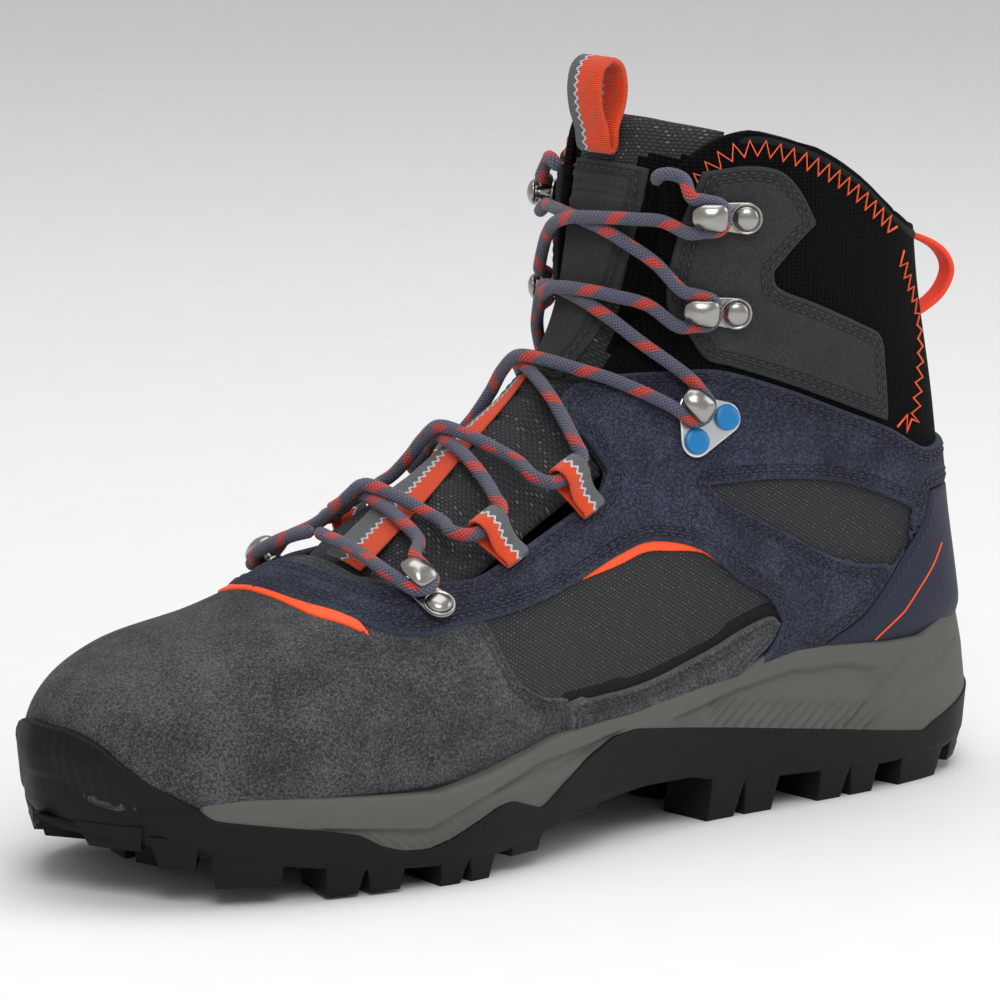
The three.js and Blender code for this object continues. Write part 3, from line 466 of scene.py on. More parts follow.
def stitch_tree():
    """Lockstitch: short rounded bars of thread laid end to end along each line."""
    tree = tree_with("lockstitch", ("Pitch", 0.0026), ("Stitch", 0.002), ("Thread", 0.0005))
    into = add(tree, "NodeGroupInput")
    line = add(tree, "GeometryNodeMeshToCurve", {"Mesh": into.outputs["Geometry"]})
    spaced = add(tree, "GeometryNodeResampleCurve",
                 {"Curve": line.outputs[0], "Length": into.outputs["Pitch"]},
                 mode="LENGTH")
    along = add(tree, "GeometryNodeInputTangent")
    away = add(tree, "GeometryNodeInputNamedAttribute", {"Name": "facing"}, data_type="FLOAT_VECTOR")
    turn = add(tree, "FunctionNodeAxesToRotation", {"Primary Axis": away.outputs["Attribute"],
                                                    "Secondary Axis": along.outputs[0]},
               primary_axis="Z", secondary_axis="X")
    bead = add(tree, "GeometryNodeMeshUVSphere", {"Segments": 6, "Rings": 4, "Radius": 0.5})
    size = add(tree, "ShaderNodeCombineXYZ", {"X": into.outputs["Stitch"], "Y": into.outputs["Thread"],
                                              "Z": into.outputs["Thread"]})
    on = add(tree, "GeometryNodeInstanceOnPoints", {"Points": spaced.outputs[0],
                                                    "Instance": bead.outputs["Mesh"],
                                                    "Rotation": turn.outputs[0], "Scale": size.outputs[0]})
    real = add(tree, "GeometryNodeRealizeInstances", {"Geometry": on.outputs[0]})
    done = add(tree, "GeometryNodeSetMaterial", {"Geometry": real.outputs[0],
                                                 "Material": into.outputs["Finish"]})
    add(tree, "NodeGroupOutput", {"Geometry": done.outputs[0]})
    return tree


def zigzag_tree():
    """Zigzag stitch: one thread that swings from side to side of a line."""
    tree = tree_with("zigzag", ("Pitch", 0.0039), ("Swing", 0.0018), ("Thread", 0.0006))
    into = add(tree, "NodeGroupInput")
    line = add(tree, "GeometryNodeMeshToCurve", {"Mesh": into.outputs["Geometry"]})
    half = add(tree, "ShaderNodeMath", {0: into.outputs["Pitch"], 1: 0.5}, operation="MULTIPLY")
    spaced = add(tree, "GeometryNodeResampleCurve", {"Curve": line.outputs[0], "Length": half.outputs[0]},
                 mode="LENGTH")
    along = add(tree, "GeometryNodeInputTangent")
    away = add(tree, "GeometryNodeInputNamedAttribute", {"Name": "facing"}, data_type="FLOAT_VECTOR")
    aside = add(tree, "ShaderNodeVectorMath", {0: away.outputs["Attribute"], 1: along.outputs[0]},
                operation="CROSS_PRODUCT")
    number = add(tree, "GeometryNodeInputIndex")
    odd = add(tree, "ShaderNodeMath", {0: number.outputs[0], 1: 2.0}, operation="MODULO")
    sign = add(tree, "ShaderNodeMath", {0: odd.outputs[0], 1: 2.0, 2: -1.0}, operation="MULTIPLY_ADD")
    swing = add(tree, "ShaderNodeMath", {0: sign.outputs[0], 1: into.outputs["Swing"]}, operation="MULTIPLY")
    shift = add(tree, "ShaderNodeVectorMath", {0: aside.outputs[0], "Scale": swing.outputs[0]},
                operation="SCALE")
    moved = add(tree, "GeometryNodeSetPosition", {"Geometry": spaced.outputs[0], "Offset": shift.outputs[0]})
    radius = add(tree, "ShaderNodeMath", {0: into.outputs["Thread"], 1: 0.5}, operation="MULTIPLY")
    round_ = add(tree, "GeometryNodeCurvePrimitiveCircle", {"Resolution": 6, "Radius": radius.outputs[0]})
    thread = add(tree, "GeometryNodeCurveToMesh", {"Curve": moved.outputs[0],
                                                   "Profile Curve": round_.outputs[0],
                                                   "Fill Caps": True})
    real = add(tree, "GeometryNodeRealizeInstances", {"Geometry": thread.outputs[0]})
    done = add(tree, "GeometryNodeSetMaterial", {"Geometry": real.outputs[0],
                                                 "Material": into.outputs["Finish"]})
    add(tree, "NodeGroupOutput", {"Geometry": done.outputs[0]})
    return tree


def seam(name, lines, tree, finish, body="root", slot="lace", **sizes):
    """Stitches along lines given as points, directions and edges."""
    points, away, edges, count = [], [], [], 0
    for at, facing, ends in lines:
        points.append(at)
        away.append(facing)
        edges.append(ends + count)
        count += len(at)
    mesh = bpy.data.meshes.new(name)
    mesh.from_pydata(metres(np.concatenate(points)).tolist(), np.concatenate(edges).tolist(), [])
    store = mesh.attributes.new("facing", "FLOAT_VECTOR", "POINT")
    store.data.foreach_set("vector", np.concatenate(away).astype(np.float32).ravel())
    made = bpy.data.objects.new(name, mesh)
    bpy.context.scene.collection.objects.link(made)
    run_tree(made, tree, finish, **sizes)
    return placed(made, body, slot)

# ---- finishes -------------------------------------------------------------------------------------
def shader(name):
    """A material with its output and principled nodes, and position on the piece in mm."""
    made = bpy.data.materials.new(name)
    made.use_nodes = True
    tree = made.node_tree
    tree.nodes.clear()
    body = add(tree, "ShaderNodeBsdfPrincipled")
    add(tree, "ShaderNodeOutputMaterial", {"Surface": body.outputs[0]})
    where = add(tree, "ShaderNodeTexCoord")
    mm = add(tree, "ShaderNodeVectorMath", {0: where.outputs["Object"], "Scale": 1000.0}, operation="SCALE")
    cloth = add(tree, "ShaderNodeVectorMath", {0: where.outputs["UV"], "Scale": 100.0}, operation="SCALE")
    return made, tree, body, mm.outputs[0], cloth.outputs[0]


def set_sheen(body, weight, rough, tint):
    body.inputs["Sheen Weight"].default_value = weight
    body.inputs["Sheen Roughness"].default_value = rough
    body.inputs["Sheen Tint"].default_value = paint(tint)


def suede(name, dark, mid, light, rows=(1.7, 3.3)):
    """Split leather brushed to a nap: matt, blotched where the nap lies two ways, paler at cut edges,
    and drawn down along its stitching, with painted shade darkening its colour along the stitch lines."""
    made, tree, body, mm, _ = shader(name)
    blotch = add(tree, "ShaderNodeTexNoise", {"Vector": mm, "Scale": 1 / 16, "Detail": 3.0,
                                              "Roughness": 0.6})
    nap = add(tree, "ShaderNodeTexNoise", {"Vector": mm, "Scale": 1 / 0.62, "Detail": 2.0,
                                           "Roughness": 0.75})
    part = add(tree, "ShaderNodeMath", {0: blotch.outputs[0], 1: 0.28}, operation="MULTIPLY")
    mix = add(tree, "ShaderNodeMath", {0: nap.outputs[0], 1: 0.72, 2: part.outputs[0]},
              operation="MULTIPLY_ADD")
    tone = add(tree, "ShaderNodeValToRGB", {0: mix.outputs[0]})
    ramp = tone.color_ramp
    ramp.elements[0].position, ramp.elements[0].color = 0.4, paint(dark)
    ramp.elements[1].position, ramp.elements[1].color = 0.62, paint(light)
    ramp.elements.new(0.5).color = paint(mid)
    edge = add(tree, "ShaderNodeAttribute", attribute_name="edge")
    cut = add(tree, "ShaderNodeMapRange", {"Value": edge.outputs["Fac"], "From Min": 0.0, "From Max": 0.7,
                                           "To Min": 0.6, "To Max": 0.0})
    worn = add(tree, "ShaderNodeMix", {0: cut.outputs[0], 6: tone.outputs[0], 7: paint(light)},
               data_type="RGBA")
    stitch_press_and_shade = None
    for row in rows:
        off = add(tree, "ShaderNodeMath", {0: edge.outputs["Fac"], 1: row}, operation="SUBTRACT")
        size = add(tree, "ShaderNodeMath", {0: off.outputs[0]}, operation="ABSOLUTE")
        dip = add(tree, "ShaderNodeMapRange", {"Value": size.outputs[0], "From Min": 0.0, "From Max": 0.9,
                                               "To Min": 0.0, "To Max": 1.0},
                  interpolation_type="SMOOTHSTEP")
        stitch_press_and_shade = dip if stitch_press_and_shade is None else add(tree, "ShaderNodeMath",
                                              {0: stitch_press_and_shade.outputs[0], 1: dip.outputs[0]},
                                              operation="MULTIPLY")
    # painted shade: the colour is darkened to 0.72 along the stitch lines, standing for the shade in the
    # pressed-in stitching
    shade = add(tree, "ShaderNodeMapRange", {"Value": stitch_press_and_shade.outputs[0], "To Min": 0.72, "To Max": 1.0})
    final = add(tree, "ShaderNodeVectorMath", {0: worn.outputs[2], "Scale": shade.outputs[0]},
                operation="SCALE")
    tree.links.new(final.outputs[0], body.inputs["Base Color"])
    drawn = add(tree, "ShaderNodeBump", {"Height": stitch_press_and_shade.outputs[0], "Distance": 0.0005, "Strength": 0.8})
    fine = add(tree, "ShaderNodeTexNoise", {"Vector": mm, "Scale": 1 / 0.5, "Detail": 2.0})
    fibre = add(tree, "ShaderNodeBump", {"Height": fine.outputs[0], "Distance": 0.0004, "Strength": 0.75,
                                         "Normal": drawn.outputs[0]})
    tree.links.new(fibre.outputs[0], body.inputs["Normal"])
    body.inputs["Roughness"].default_value = 0.95
    body.inputs["Specular IOR Level"].default_value = 0.2
    set_sheen(body, 0.25, 0.5, light)
    return made


def weave(name, ground, thread, glint, pitch, lean=25.0, relief=0.00035, painted_glint_share=0.35, rough=0.8):
    """Heavy woven mesh: rows of short raised yarns, every other row shifted by half, some with a painted
    highlight on their crowns.
    """
    made, tree, body, _, cloth = shader(name)
    turned = add(tree, "ShaderNodeVectorRotate", {"Vector": cloth, "Angle": math.radians(lean)},
                 rotation_type="Z_AXIS")
    parts = add(tree, "ShaderNodeSeparateXYZ", {0: turned.outputs[0]})
    row = add(tree, "ShaderNodeMath", {0: parts.outputs[1], 1: pitch * 0.62}, operation="DIVIDE")
    which = add(tree, "ShaderNodeMath", {0: row.outputs[0]}, operation="FLOOR")
    slip = add(tree, "ShaderNodeMath", {0: which.outputs[0], 1: 0.5}, operation="MULTIPLY")
    column = add(tree, "ShaderNodeMath", {0: parts.outputs[0], 1: pitch, }, operation="DIVIDE")
    shifted = add(tree, "ShaderNodeMath", {0: column.outputs[0], 1: slip.outputs[0]}, operation="ADD")
    lumps = []
    for value in (row, shifted):
        share = add(tree, "ShaderNodeMath", {0: value.outputs[0]}, operation="FRACT")
        swell = add(tree, "ShaderNodeMath", {0: share.outputs[0], 1: math.pi}, operation="MULTIPLY")
        lumps.append(add(tree, "ShaderNodeMath", {0: swell.outputs[0]}, operation="SINE"))
    yarn = add(tree, "ShaderNodeMath", {0: lumps[0].outputs[0], 1: lumps[1].outputs[0]},
               operation="MULTIPLY")
    base = add(tree, "ShaderNodeMix", {0: yarn.outputs[0], 6: paint(ground), 7: paint(thread)},
               data_type="RGBA")
    place = add(tree, "ShaderNodeMath", {0: shifted.outputs[0]}, operation="FLOOR")
    cell = add(tree, "ShaderNodeCombineXYZ", {0: place.outputs[0], 1: which.outputs[0]})
    chance = add(tree, "ShaderNodeTexWhiteNoise", {"Vector": cell.outputs[0]}, noise_dimensions="2D")
    # painted highlight: a pale glint colour mixed into the crowns of randomly chosen yarns
    lucky = add(tree, "ShaderNodeMath", {0: chance.outputs[0], 1: 1 - painted_glint_share}, operation="GREATER_THAN")
    crown = add(tree, "ShaderNodeMapRange", {"Value": yarn.outputs[0], "From Min": 0.55, "From Max": 0.95})
    painted_glint_mask = add(tree, "ShaderNodeMath", {0: lucky.outputs[0], 1: crown.outputs[0]}, operation="MULTIPLY")
    final = add(tree, "ShaderNodeMix", {0: painted_glint_mask.outputs[0], 6: base.outputs[2], 7: paint(glint)},
                data_type="RGBA")
    tree.links.new(final.outputs[2], body.inputs["Base Color"])
    bump = add(tree, "ShaderNodeBump", {"Height": yarn.outputs[0], "Distance": relief})
    tree.links.new(bump.outputs[0], body.inputs["Normal"])
    body.inputs["Roughness"].default_value = rough
    set_sheen(body, 0.2, 0.4, glint)
    return made


def smooth_coat(name, low, high, rough, grain_mm, relief, spec=0.5, sheen=0.0):
    """A smooth or softly grained surface with slight changes of tone."""
    made, tree, body, mm, _ = shader(name)
    cloud = add(tree, "ShaderNodeTexNoise", {"Vector": mm, "Scale": 1 / 18, "Detail": 3.0})
    tone = add(tree, "ShaderNodeMix", {0: cloud.outputs[0], 6: paint(low), 7: paint(high)}, data_type="RGBA")
    tree.links.new(tone.outputs[2], body.inputs["Base Color"])
    grain = add(tree, "ShaderNodeTexNoise", {"Vector": mm, "Scale": 1 / grain_mm, "Detail": 2.0})
    bump = add(tree, "ShaderNodeBump", {"Height": grain.outputs[0], "Distance": relief})
    tree.links.new(bump.outputs[0], body.inputs["Normal"])
    body.inputs["Roughness"].default_value = rough
    body.inputs["Specular IOR Level"].default_value = spec
    if sheen:
        set_sheen(body, sheen, 0.5, high)
    return made


def metal(name, tone, rough, blotch=0.12):
    """Plated or anodised metal, slightly uneven from tumbling."""
    made, tree, body, mm, _ = shader(name)
    body.inputs["Base Color"].default_value = paint(tone)
    body.inputs["Metallic"].default_value = 1.0
    cloud = add(tree, "ShaderNodeTexNoise", {"Vector": mm, "Scale": 1 / 1.5, "Detail": 3.0})
    worn = add(tree, "ShaderNodeMapRange", {"Value": cloud.outputs[0], "To Min": rough - blotch,
                                            "To Max": rough + blotch})
    tree.links.new(worn.outputs[0], body.inputs["Roughness"])
    return made


def webbing(name):
    """Narrow woven tape: grey one side, orange the other, a white zigzag between, ribbed across its
    length, with painted shade darkening the colour in the hollows between the ribs."""
    made, tree, body, _, cloth = shader(name)
    parts = add(tree, "ShaderNodeSeparateXYZ", {0: cloth})
    across, along = parts.outputs[0], parts.outputs[1]
    swing = add(tree, "ShaderNodeMath", {0: along, 1: 1.1}, operation="PINGPONG")
    line = add(tree, "ShaderNodeMath", {0: swing.outputs[0], 1: 1.25, 2: -0.7}, operation="MULTIPLY_ADD")
    off = add(tree, "ShaderNodeMath", {0: across, 1: line.outputs[0]}, operation="SUBTRACT")
    gap = add(tree, "ShaderNodeMath", {0: off.outputs[0]}, operation="ABSOLUTE")
    near = add(tree, "ShaderNodeMath", {0: gap.outputs[0], 1: 0.42}, operation="LESS_THAN")
    orange = add(tree, "ShaderNodeMath", {0: across, 1: 0.25}, operation="GREATER_THAN")
    two = add(tree, "ShaderNodeMix", {0: orange.outputs[0], 6: paint("#6a6c70"), 7: paint("#ff4f12")},
              data_type="RGBA")
    three = add(tree, "ShaderNodeMix", {0: near.outputs[0], 6: two.outputs[2], 7: paint("#e9eaea")},
                data_type="RGBA")
    rib = add(tree, "ShaderNodeMath", {0: along, 1: math.pi / 0.55}, operation="MULTIPLY")
    wave = add(tree, "ShaderNodeMath", {0: rib.outputs[0]}, operation="SINE")
    high = add(tree, "ShaderNodeMath", {0: wave.outputs[0]}, operation="ABSOLUTE")
    # painted shade: the colour is darkened to 0.62 in the hollows between the ribs
    shade = add(tree, "ShaderNodeMapRange", {"Value": high.outputs[0], "To Min": 0.62, "To Max": 1.0})
    final = add(tree, "ShaderNodeVectorMath", {0: three.outputs[2], "Scale": shade.outputs[0]},
                operation="SCALE")
    tree.links.new(final.outputs[0], body.inputs["Base Color"])
    bump = add(tree, "ShaderNodeBump", {"Height": high.outputs[0], "Distance": 0.0003})
    tree.links.new(bump.outputs[0], body.inputs["Normal"])
    body.inputs["Roughness"].default_value = 0.75
    set_sheen(body, 0.2, 0.4, "#ffffff")
    return made


def braid(name):
    """Round braided lace: small crossing plaits of slate yarn, with a red yarn that surfaces in short
    slants, painted darker in the hollows between plaits and a little lighter on their crowns, as painted shade
    and highlight."""
    made, tree, body, _, cloth = shader(name)
    parts = add(tree, "ShaderNodeSeparateXYZ", {0: cloth})
    along, round_ = parts.outputs[0], parts.outputs[1]
    lanes = []
    for lean in (0.95, -0.95):
        lane = add(tree, "ShaderNodeMath", {0: along, 1: lean, 2: 0.0}, operation="MULTIPLY")
        lanes.append(add(tree, "ShaderNodeMath", {0: round_, 1: 9.0, 2: lane.outputs[0]},
                         operation="MULTIPLY_ADD"))
    lumps = []
    for lane in lanes:
        turn = add(tree, "ShaderNodeMath", {0: lane.outputs[0], 1: math.pi}, operation="MULTIPLY")
        wave = add(tree, "ShaderNodeMath", {0: turn.outputs[0]}, operation="SINE")
        lumps.append(add(tree, "ShaderNodeMath", {0: wave.outputs[0]}, operation="ABSOLUTE"))
    yarn = add(tree, "ShaderNodeMath", {0: lumps[0].outputs[0], 1: lumps[1].outputs[0]},
               operation="MULTIPLY")
    high = add(tree, "ShaderNodeMath", {0: yarn.outputs[0], 1: 0.5}, operation="POWER")
    slant = add(tree, "ShaderNodeMath", {0: round_, 1: 9.0, 2: along}, operation="MULTIPLY_ADD")
    jag = add(tree, "ShaderNodeMath", {0: lumps[0].outputs[0], 1: 1.6, 2: slant.outputs[0]},
              operation="MULTIPLY_ADD")
    turn = add(tree, "ShaderNodeMath", {0: jag.outputs[0], 1: 15.0}, operation="FLOORED_MODULO")
    red = add(tree, "ShaderNodeMath", {0: turn.outputs[0], 1: 3.6}, operation="LESS_THAN")
    tone = add(tree, "ShaderNodeMix", {0: red.outputs[0], 6: paint("#5f6178"), 7: paint("#dc4438")},
               data_type="RGBA")
    # painted shade and highlight: colour scaled from 0.35 in the hollows between plaits up to 1.1 on their
    # crowns
    shade = add(tree, "ShaderNodeMapRange", {"Value": high.outputs[0], "To Min": 0.35, "To Max": 1.1})
    final = add(tree, "ShaderNodeVectorMath", {0: tone.outputs[2], "Scale": shade.outputs[0]},
                operation="SCALE")
    tree.links.new(final.outputs[0], body.inputs["Base Color"])
    bump = add(tree, "ShaderNodeBump", {"Height": high.outputs[0], "Distance": 0.0004})
    tree.links.new(bump.outputs[0], body.inputs["Normal"])
    body.inputs["Roughness"].default_value = 0.7
    set_sheen(body, 0.2, 0.4, "#ffffff")
    return made


def knit(name, tone, light, pitch):
    """Ribbed elastic knit: fine upright ribs crossed by loops, with painted highlight on the raised loops and
    painted shade between them.
    """
    made, tree, body, _, cloth = shader(name)
    parts = add(tree, "ShaderNodeSeparateXYZ", {0: cloth})
    waves = []
    for value, step in ((parts.outputs[0], pitch), (parts.outputs[1], pitch * 0.8)):
        turn = add(tree, "ShaderNodeMath", {0: value, 1: math.pi / step}, operation="MULTIPLY")
        wave = add(tree, "ShaderNodeMath", {0: turn.outputs[0]}, operation="SINE")
        waves.append(add(tree, "ShaderNodeMath", {0: wave.outputs[0]}, operation="ABSOLUTE"))
    loop = add(tree, "ShaderNodeMath", {0: waves[0].outputs[0], 1: waves[1].outputs[0]},
               operation="MULTIPLY")
    # painted light and shade: the lighter colour sits on the raised loops and the darker tone in the hollows
    # between them
    shade = add(tree, "ShaderNodeMix", {0: loop.outputs[0], 6: paint(tone), 7: paint(light)},
                data_type="RGBA")
    tree.links.new(shade.outputs[2], body.inputs["Base Color"])
    bump = add(tree, "ShaderNodeBump", {"Height": loop.outputs[0], "Distance": 0.0003})
    tree.links.new(bump.outputs[0], body.inputs["Normal"])
    body.inputs["Roughness"].default_value = 0.95
    body.inputs["Specular IOR Level"].default_value = 0.12
    return made


# suede of the toe: dark grey, brushed
GREY_SUEDE = suede("brushed grey suede", "#2b2c2e", "#424345", "#5f6062")
# suede of the quarter: navy, brushed
NAVY_SUEDE = suede("brushed navy suede", "#1e202b", "#2f3240", "#484c5c")
# nubuck: buffed grain leather, finer than suede
NUBUCK = suede("charcoal nubuck", "#2f3031", "#353637", "#3e3f40")
# polyester mesh of the sides
SIDE_MESH = weave("woven side mesh", "#121314", "#3a3c3e", "#525458", 1.3, lean=-20, painted_glint_share=0.15)
TONGUE_MESH = weave("woven tongue mesh", "#101112", "#37393c", "#6a6d71", 1.5, lean=8, painted_glint_share=0.12)
# thermoplastic film pressed on the heel
HEEL_FILM = smooth_coat("pressed navy film", "#1f2233", "#272b40", 0.55, 0.9, 0.00006, 0.25)
KNIT = knit("black rib knit", "#030303", "#0f0f10", 1.3)
BINDING = smooth_coat("black stretch binding", "#0b0b0b", "#131313", 0.85, 0.5, 0.0002, 0.3, 0.2)
LINING = knit("black lining cloth", "#0e0f10", "#25272a", 1.0)
# tread rubber: carbon-filled, moulded matt
RUBBER = smooth_coat("moulded black rubber", "#0d0d0d", "#131313", 0.6, 0.6, 0.00008, 0.2)
# EVA foam: moulded skin with a satin feel
FOAM = smooth_coat("moulded grey foam", "#545450", "#5f5f5a", 0.65, 0.45, 0.00007, 0.25)
NICKEL = metal("black nickel plate", "#a3a19d", 0.26, 0.08)
BLUE_PLATE = metal("white zinc plate", "#e4e8ea", 0.3, 0.08)
# anodised aluminium, dyed blue
BLUE = smooth_coat("blue lacquer", "#0670ad", "#087bb9", 0.4, 2.0, 0.00002, 0.5)
TAPE = webbing("orange and grey tape")
PULL = smooth_coat("red woven tape", "#f23f28", "#ff573c", 0.75, 0.5, 0.0003, 0.3, 0.3)
BRAID = braid("braided slate lace")
THREAD_DARK = smooth_coat("dark waxed thread", "#24262f", "#34374a", 0.45, 0.4, 0.0001, 0.5)
THREAD_GREY = smooth_coat("grey waxed thread", "#2b2c2e", "#3d3f42", 0.45, 0.4, 0.0001, 0.5)
THREAD_ORANGE = smooth_coat("orange polyester thread", "#f4512a", "#ff6a3c", 0.5, 0.4, 0.0001, 0.5)
ORANGE_PRINT = smooth_coat("orange rubber print", "#ff4a10", "#ff5c1c", 0.5, 0.6, 0.00004, 0.4)



# ---- outlines of the upper's panels, x and z, the same on both sides ------------------------------
TOE = [[-170, 0], [-16.5, 0], [-16.5, 40], [-24, 41], [-33, 45.7], [-37.3, 51.7], [-41, 62], [-45, 69.5],
       [-55, 70.6], [-64, 72.5], [-65, 100], [-170, 100]]
MESH = [[-15.9, 0], [-15.9, 40.6], [-23.7, 41.6], [-32.5, 46.2], [-36.8, 52], [-40.4, 62.2], [-43.6, 69],
        [-38.6, 70.5], [-29, 73.2], [-16, 77.6], [-3.2, 82.3], [8, 86.6], [13.6, 93], [10.8, 102],
        [9.6, 106],
        [18, 112.2], [38, 114.6], [48, 114.6], [64, 109.8], [84, 101.8], [100, 95.6], [114, 88.6], [128, 83],
        [128, 0]]
STRIP = [[-15.9, 0], [-15.9, 39.6], [12.3, 40.3], [34.3, 44.9], [59.8, 52], [62.4, 49.9], [59.4, 45.3],
         [46, 34], [44, 0]]
QUARTER = [[-81, 90], [-80, 68.6], [-79.2, 67.6], [-75, 66], [-70.3, 63], [-64, 61.2], [-57.2, 60.8],
           [-49.5, 61.9], [-29.7, 63.9], [-11.4, 67.3], [9.5, 73.4], [20, 75.3], [35.8, 71.8], [48.6, 62.5],
           [59.3, 56.4], [63.6, 50], [60, 44], [47, 33], [45, 0], [66, 0], [66.2, 24], [70, 35.6],
           [79.5, 42.4],
           [93.6, 49], [106, 61.7], [113.9, 71], [116.4, 79.5], [170, 79.5], [170, 93], [128, 91.5],
           [115, 91],
           [100.4, 97.9], [84.5, 104], [64.6, 111.8], [48.2, 116.8], [38.1, 116.8], [22.7, 116], [14, 113.4],
           [8.4, 109], [7.6, 105], [9.6, 101], [12.3, 93], [7.3, 88.1], [-3.5, 84], [-16.4, 79.3],
           [-29.2, 74.9],
           [-38.6, 72], [-54, 71.5], [-62, 70.6], [-66, 72.5], [-67.5, 74], [-68, 90]]
WINDOW = [[41, 87.6], [65, 87.3], [85.8, 84.5], [99.2, 80.1], [110.6, 75.2], [109.6, 68.3], [105, 61.8],
          [96.5, 61.6], [83.8, 64.4], [64.1, 73.7], [44.7, 83.9]]
HEEL_WRAP = [[117, 79], [114.5, 70.8], [106.6, 61.3], [94.2, 48.6], [80, 42], [70.5, 35.2], [66.8, 24],
             [66.8, 0], [170, 0], [170, 79]]
COLLAR_SIDE = [[18, 114], [27, 124], [33.5, 137], [35.6, 150], [36.8, 163], [38.2, 166.4], [42, 172],
               [48, 177],
               [55.5, 178.6], [66, 176], [77.5, 171], [87.6, 165], [95, 159.5], [101.5, 154.8], [107, 146],
               [111.6, 138], [117.3, 127], [117.5, 117], [115, 104], [113.4, 90.4], [100, 97.2], [84, 103.2],
               [64, 111.2], [48, 116], [38, 116]]
COLLAR_REAR = [[102.2, 154.4], [107.7, 146.2], [112.2, 138.2], [117.9, 127], [118.1, 117], [115.6, 104],
               [114.2, 90], [170, 90], [170, 148], [125, 148.5], [112, 150]]
ANKLE = [[43.5, 168.5], [53.2, 170], [61, 168.6], [65.8, 164.5], [71.9, 154.4], [66.1, 149.4], [60, 142.4],
         [60.9, 138.8], [72.9, 133.3], [88.8, 126.4], [94.3, 123.5], [96.8, 113.9], [99.2, 99.9],
         [84.4, 105.6],
         [64.6, 113.2], [50.8, 117.9], [45.5, 119.4], [40.5, 127], [37, 132], [36.6, 139.4], [39.4, 155.3]]
COLLAR_TOP = np.array([[34, 160], [37.7, 166], [42, 172], [48, 177], [55.5, 178.6], [66, 176], [77.5, 171],
                       [87.6, 165], [95, 159.5], [102, 154.4], [112, 150], [125, 148.5], [170, 148]])
EASED = rounded(np.vstack([COLLAR_TOP, [[170, 100], [34, 100]]]), 1.0, 80)
EASED = EASED[(EASED[:, 1] > 146) & (EASED[:, 0] < 169)]
COLLAR_EDGE = EASED[np.argsort(EASED[:, 0])]
SIDES = (("lateral", -1), ("medial", 1))


def above_sole(lift=0.0):
    """Keeps the parts of a line that stand clear of the sole."""
    line = np.array([[-170, 41], [-140, 40], [-126, 27.8], [-91, 27], [-64, 25.5], [-45.8, 28.5],
                     [-22, 33.5],
                     [8.6, 34.6], [31, 37.6], [45.5, 39.6], [56, 42.5], [63, 44], [77, 43], [103, 41],
                     [116, 40.8], [125, 44], [131, 50], [137, 52], [170, 52]])
    return lambda at: at[:, 2] > np.interp(at[:, 0], line[:, 0], line[:, 1]) + lift


def drawn_line(curve, lift, sign):
    """A line on one side of the boot from its heights z and places x."""
    curve = np.array(curve, float)
    z = SURFACE[:, 2]
    off = SURFACE[:, 0] - np.interp(z, curve[:, 0], curve[:, 1])
    points = np.column_stack([FORM, off, z])
    near = (np.abs(off[FORM_TRIS]) < 8).all(1) & (sign * SURFACE[FORM_TRIS, 1] > 3).all(1)
    points, tris = compact(points, FORM_TRIS[near])
    points, tris = split_at(points, tris, 2, 0)
    ends = np.concatenate([tris[:, [0, 1]], tris[:, [1, 2]], tris[:, [2, 0]]])
    on = (np.abs(points[:, 2]) < 1e-6) & (points[:, 3] > curve[0, 0]) & (points[:, 3] < curve[-1, 0])
    ends = np.unique(np.sort(ends[on[ends].all(1)], 1), axis=0)
    used, back = np.unique(ends, return_inverse=True)
    u, angle = points[used, 0], points[used, 1]
    return off_last(u, angle, np.full(len(used), lift)), last_normal(u, angle), back.reshape(-1, 2)


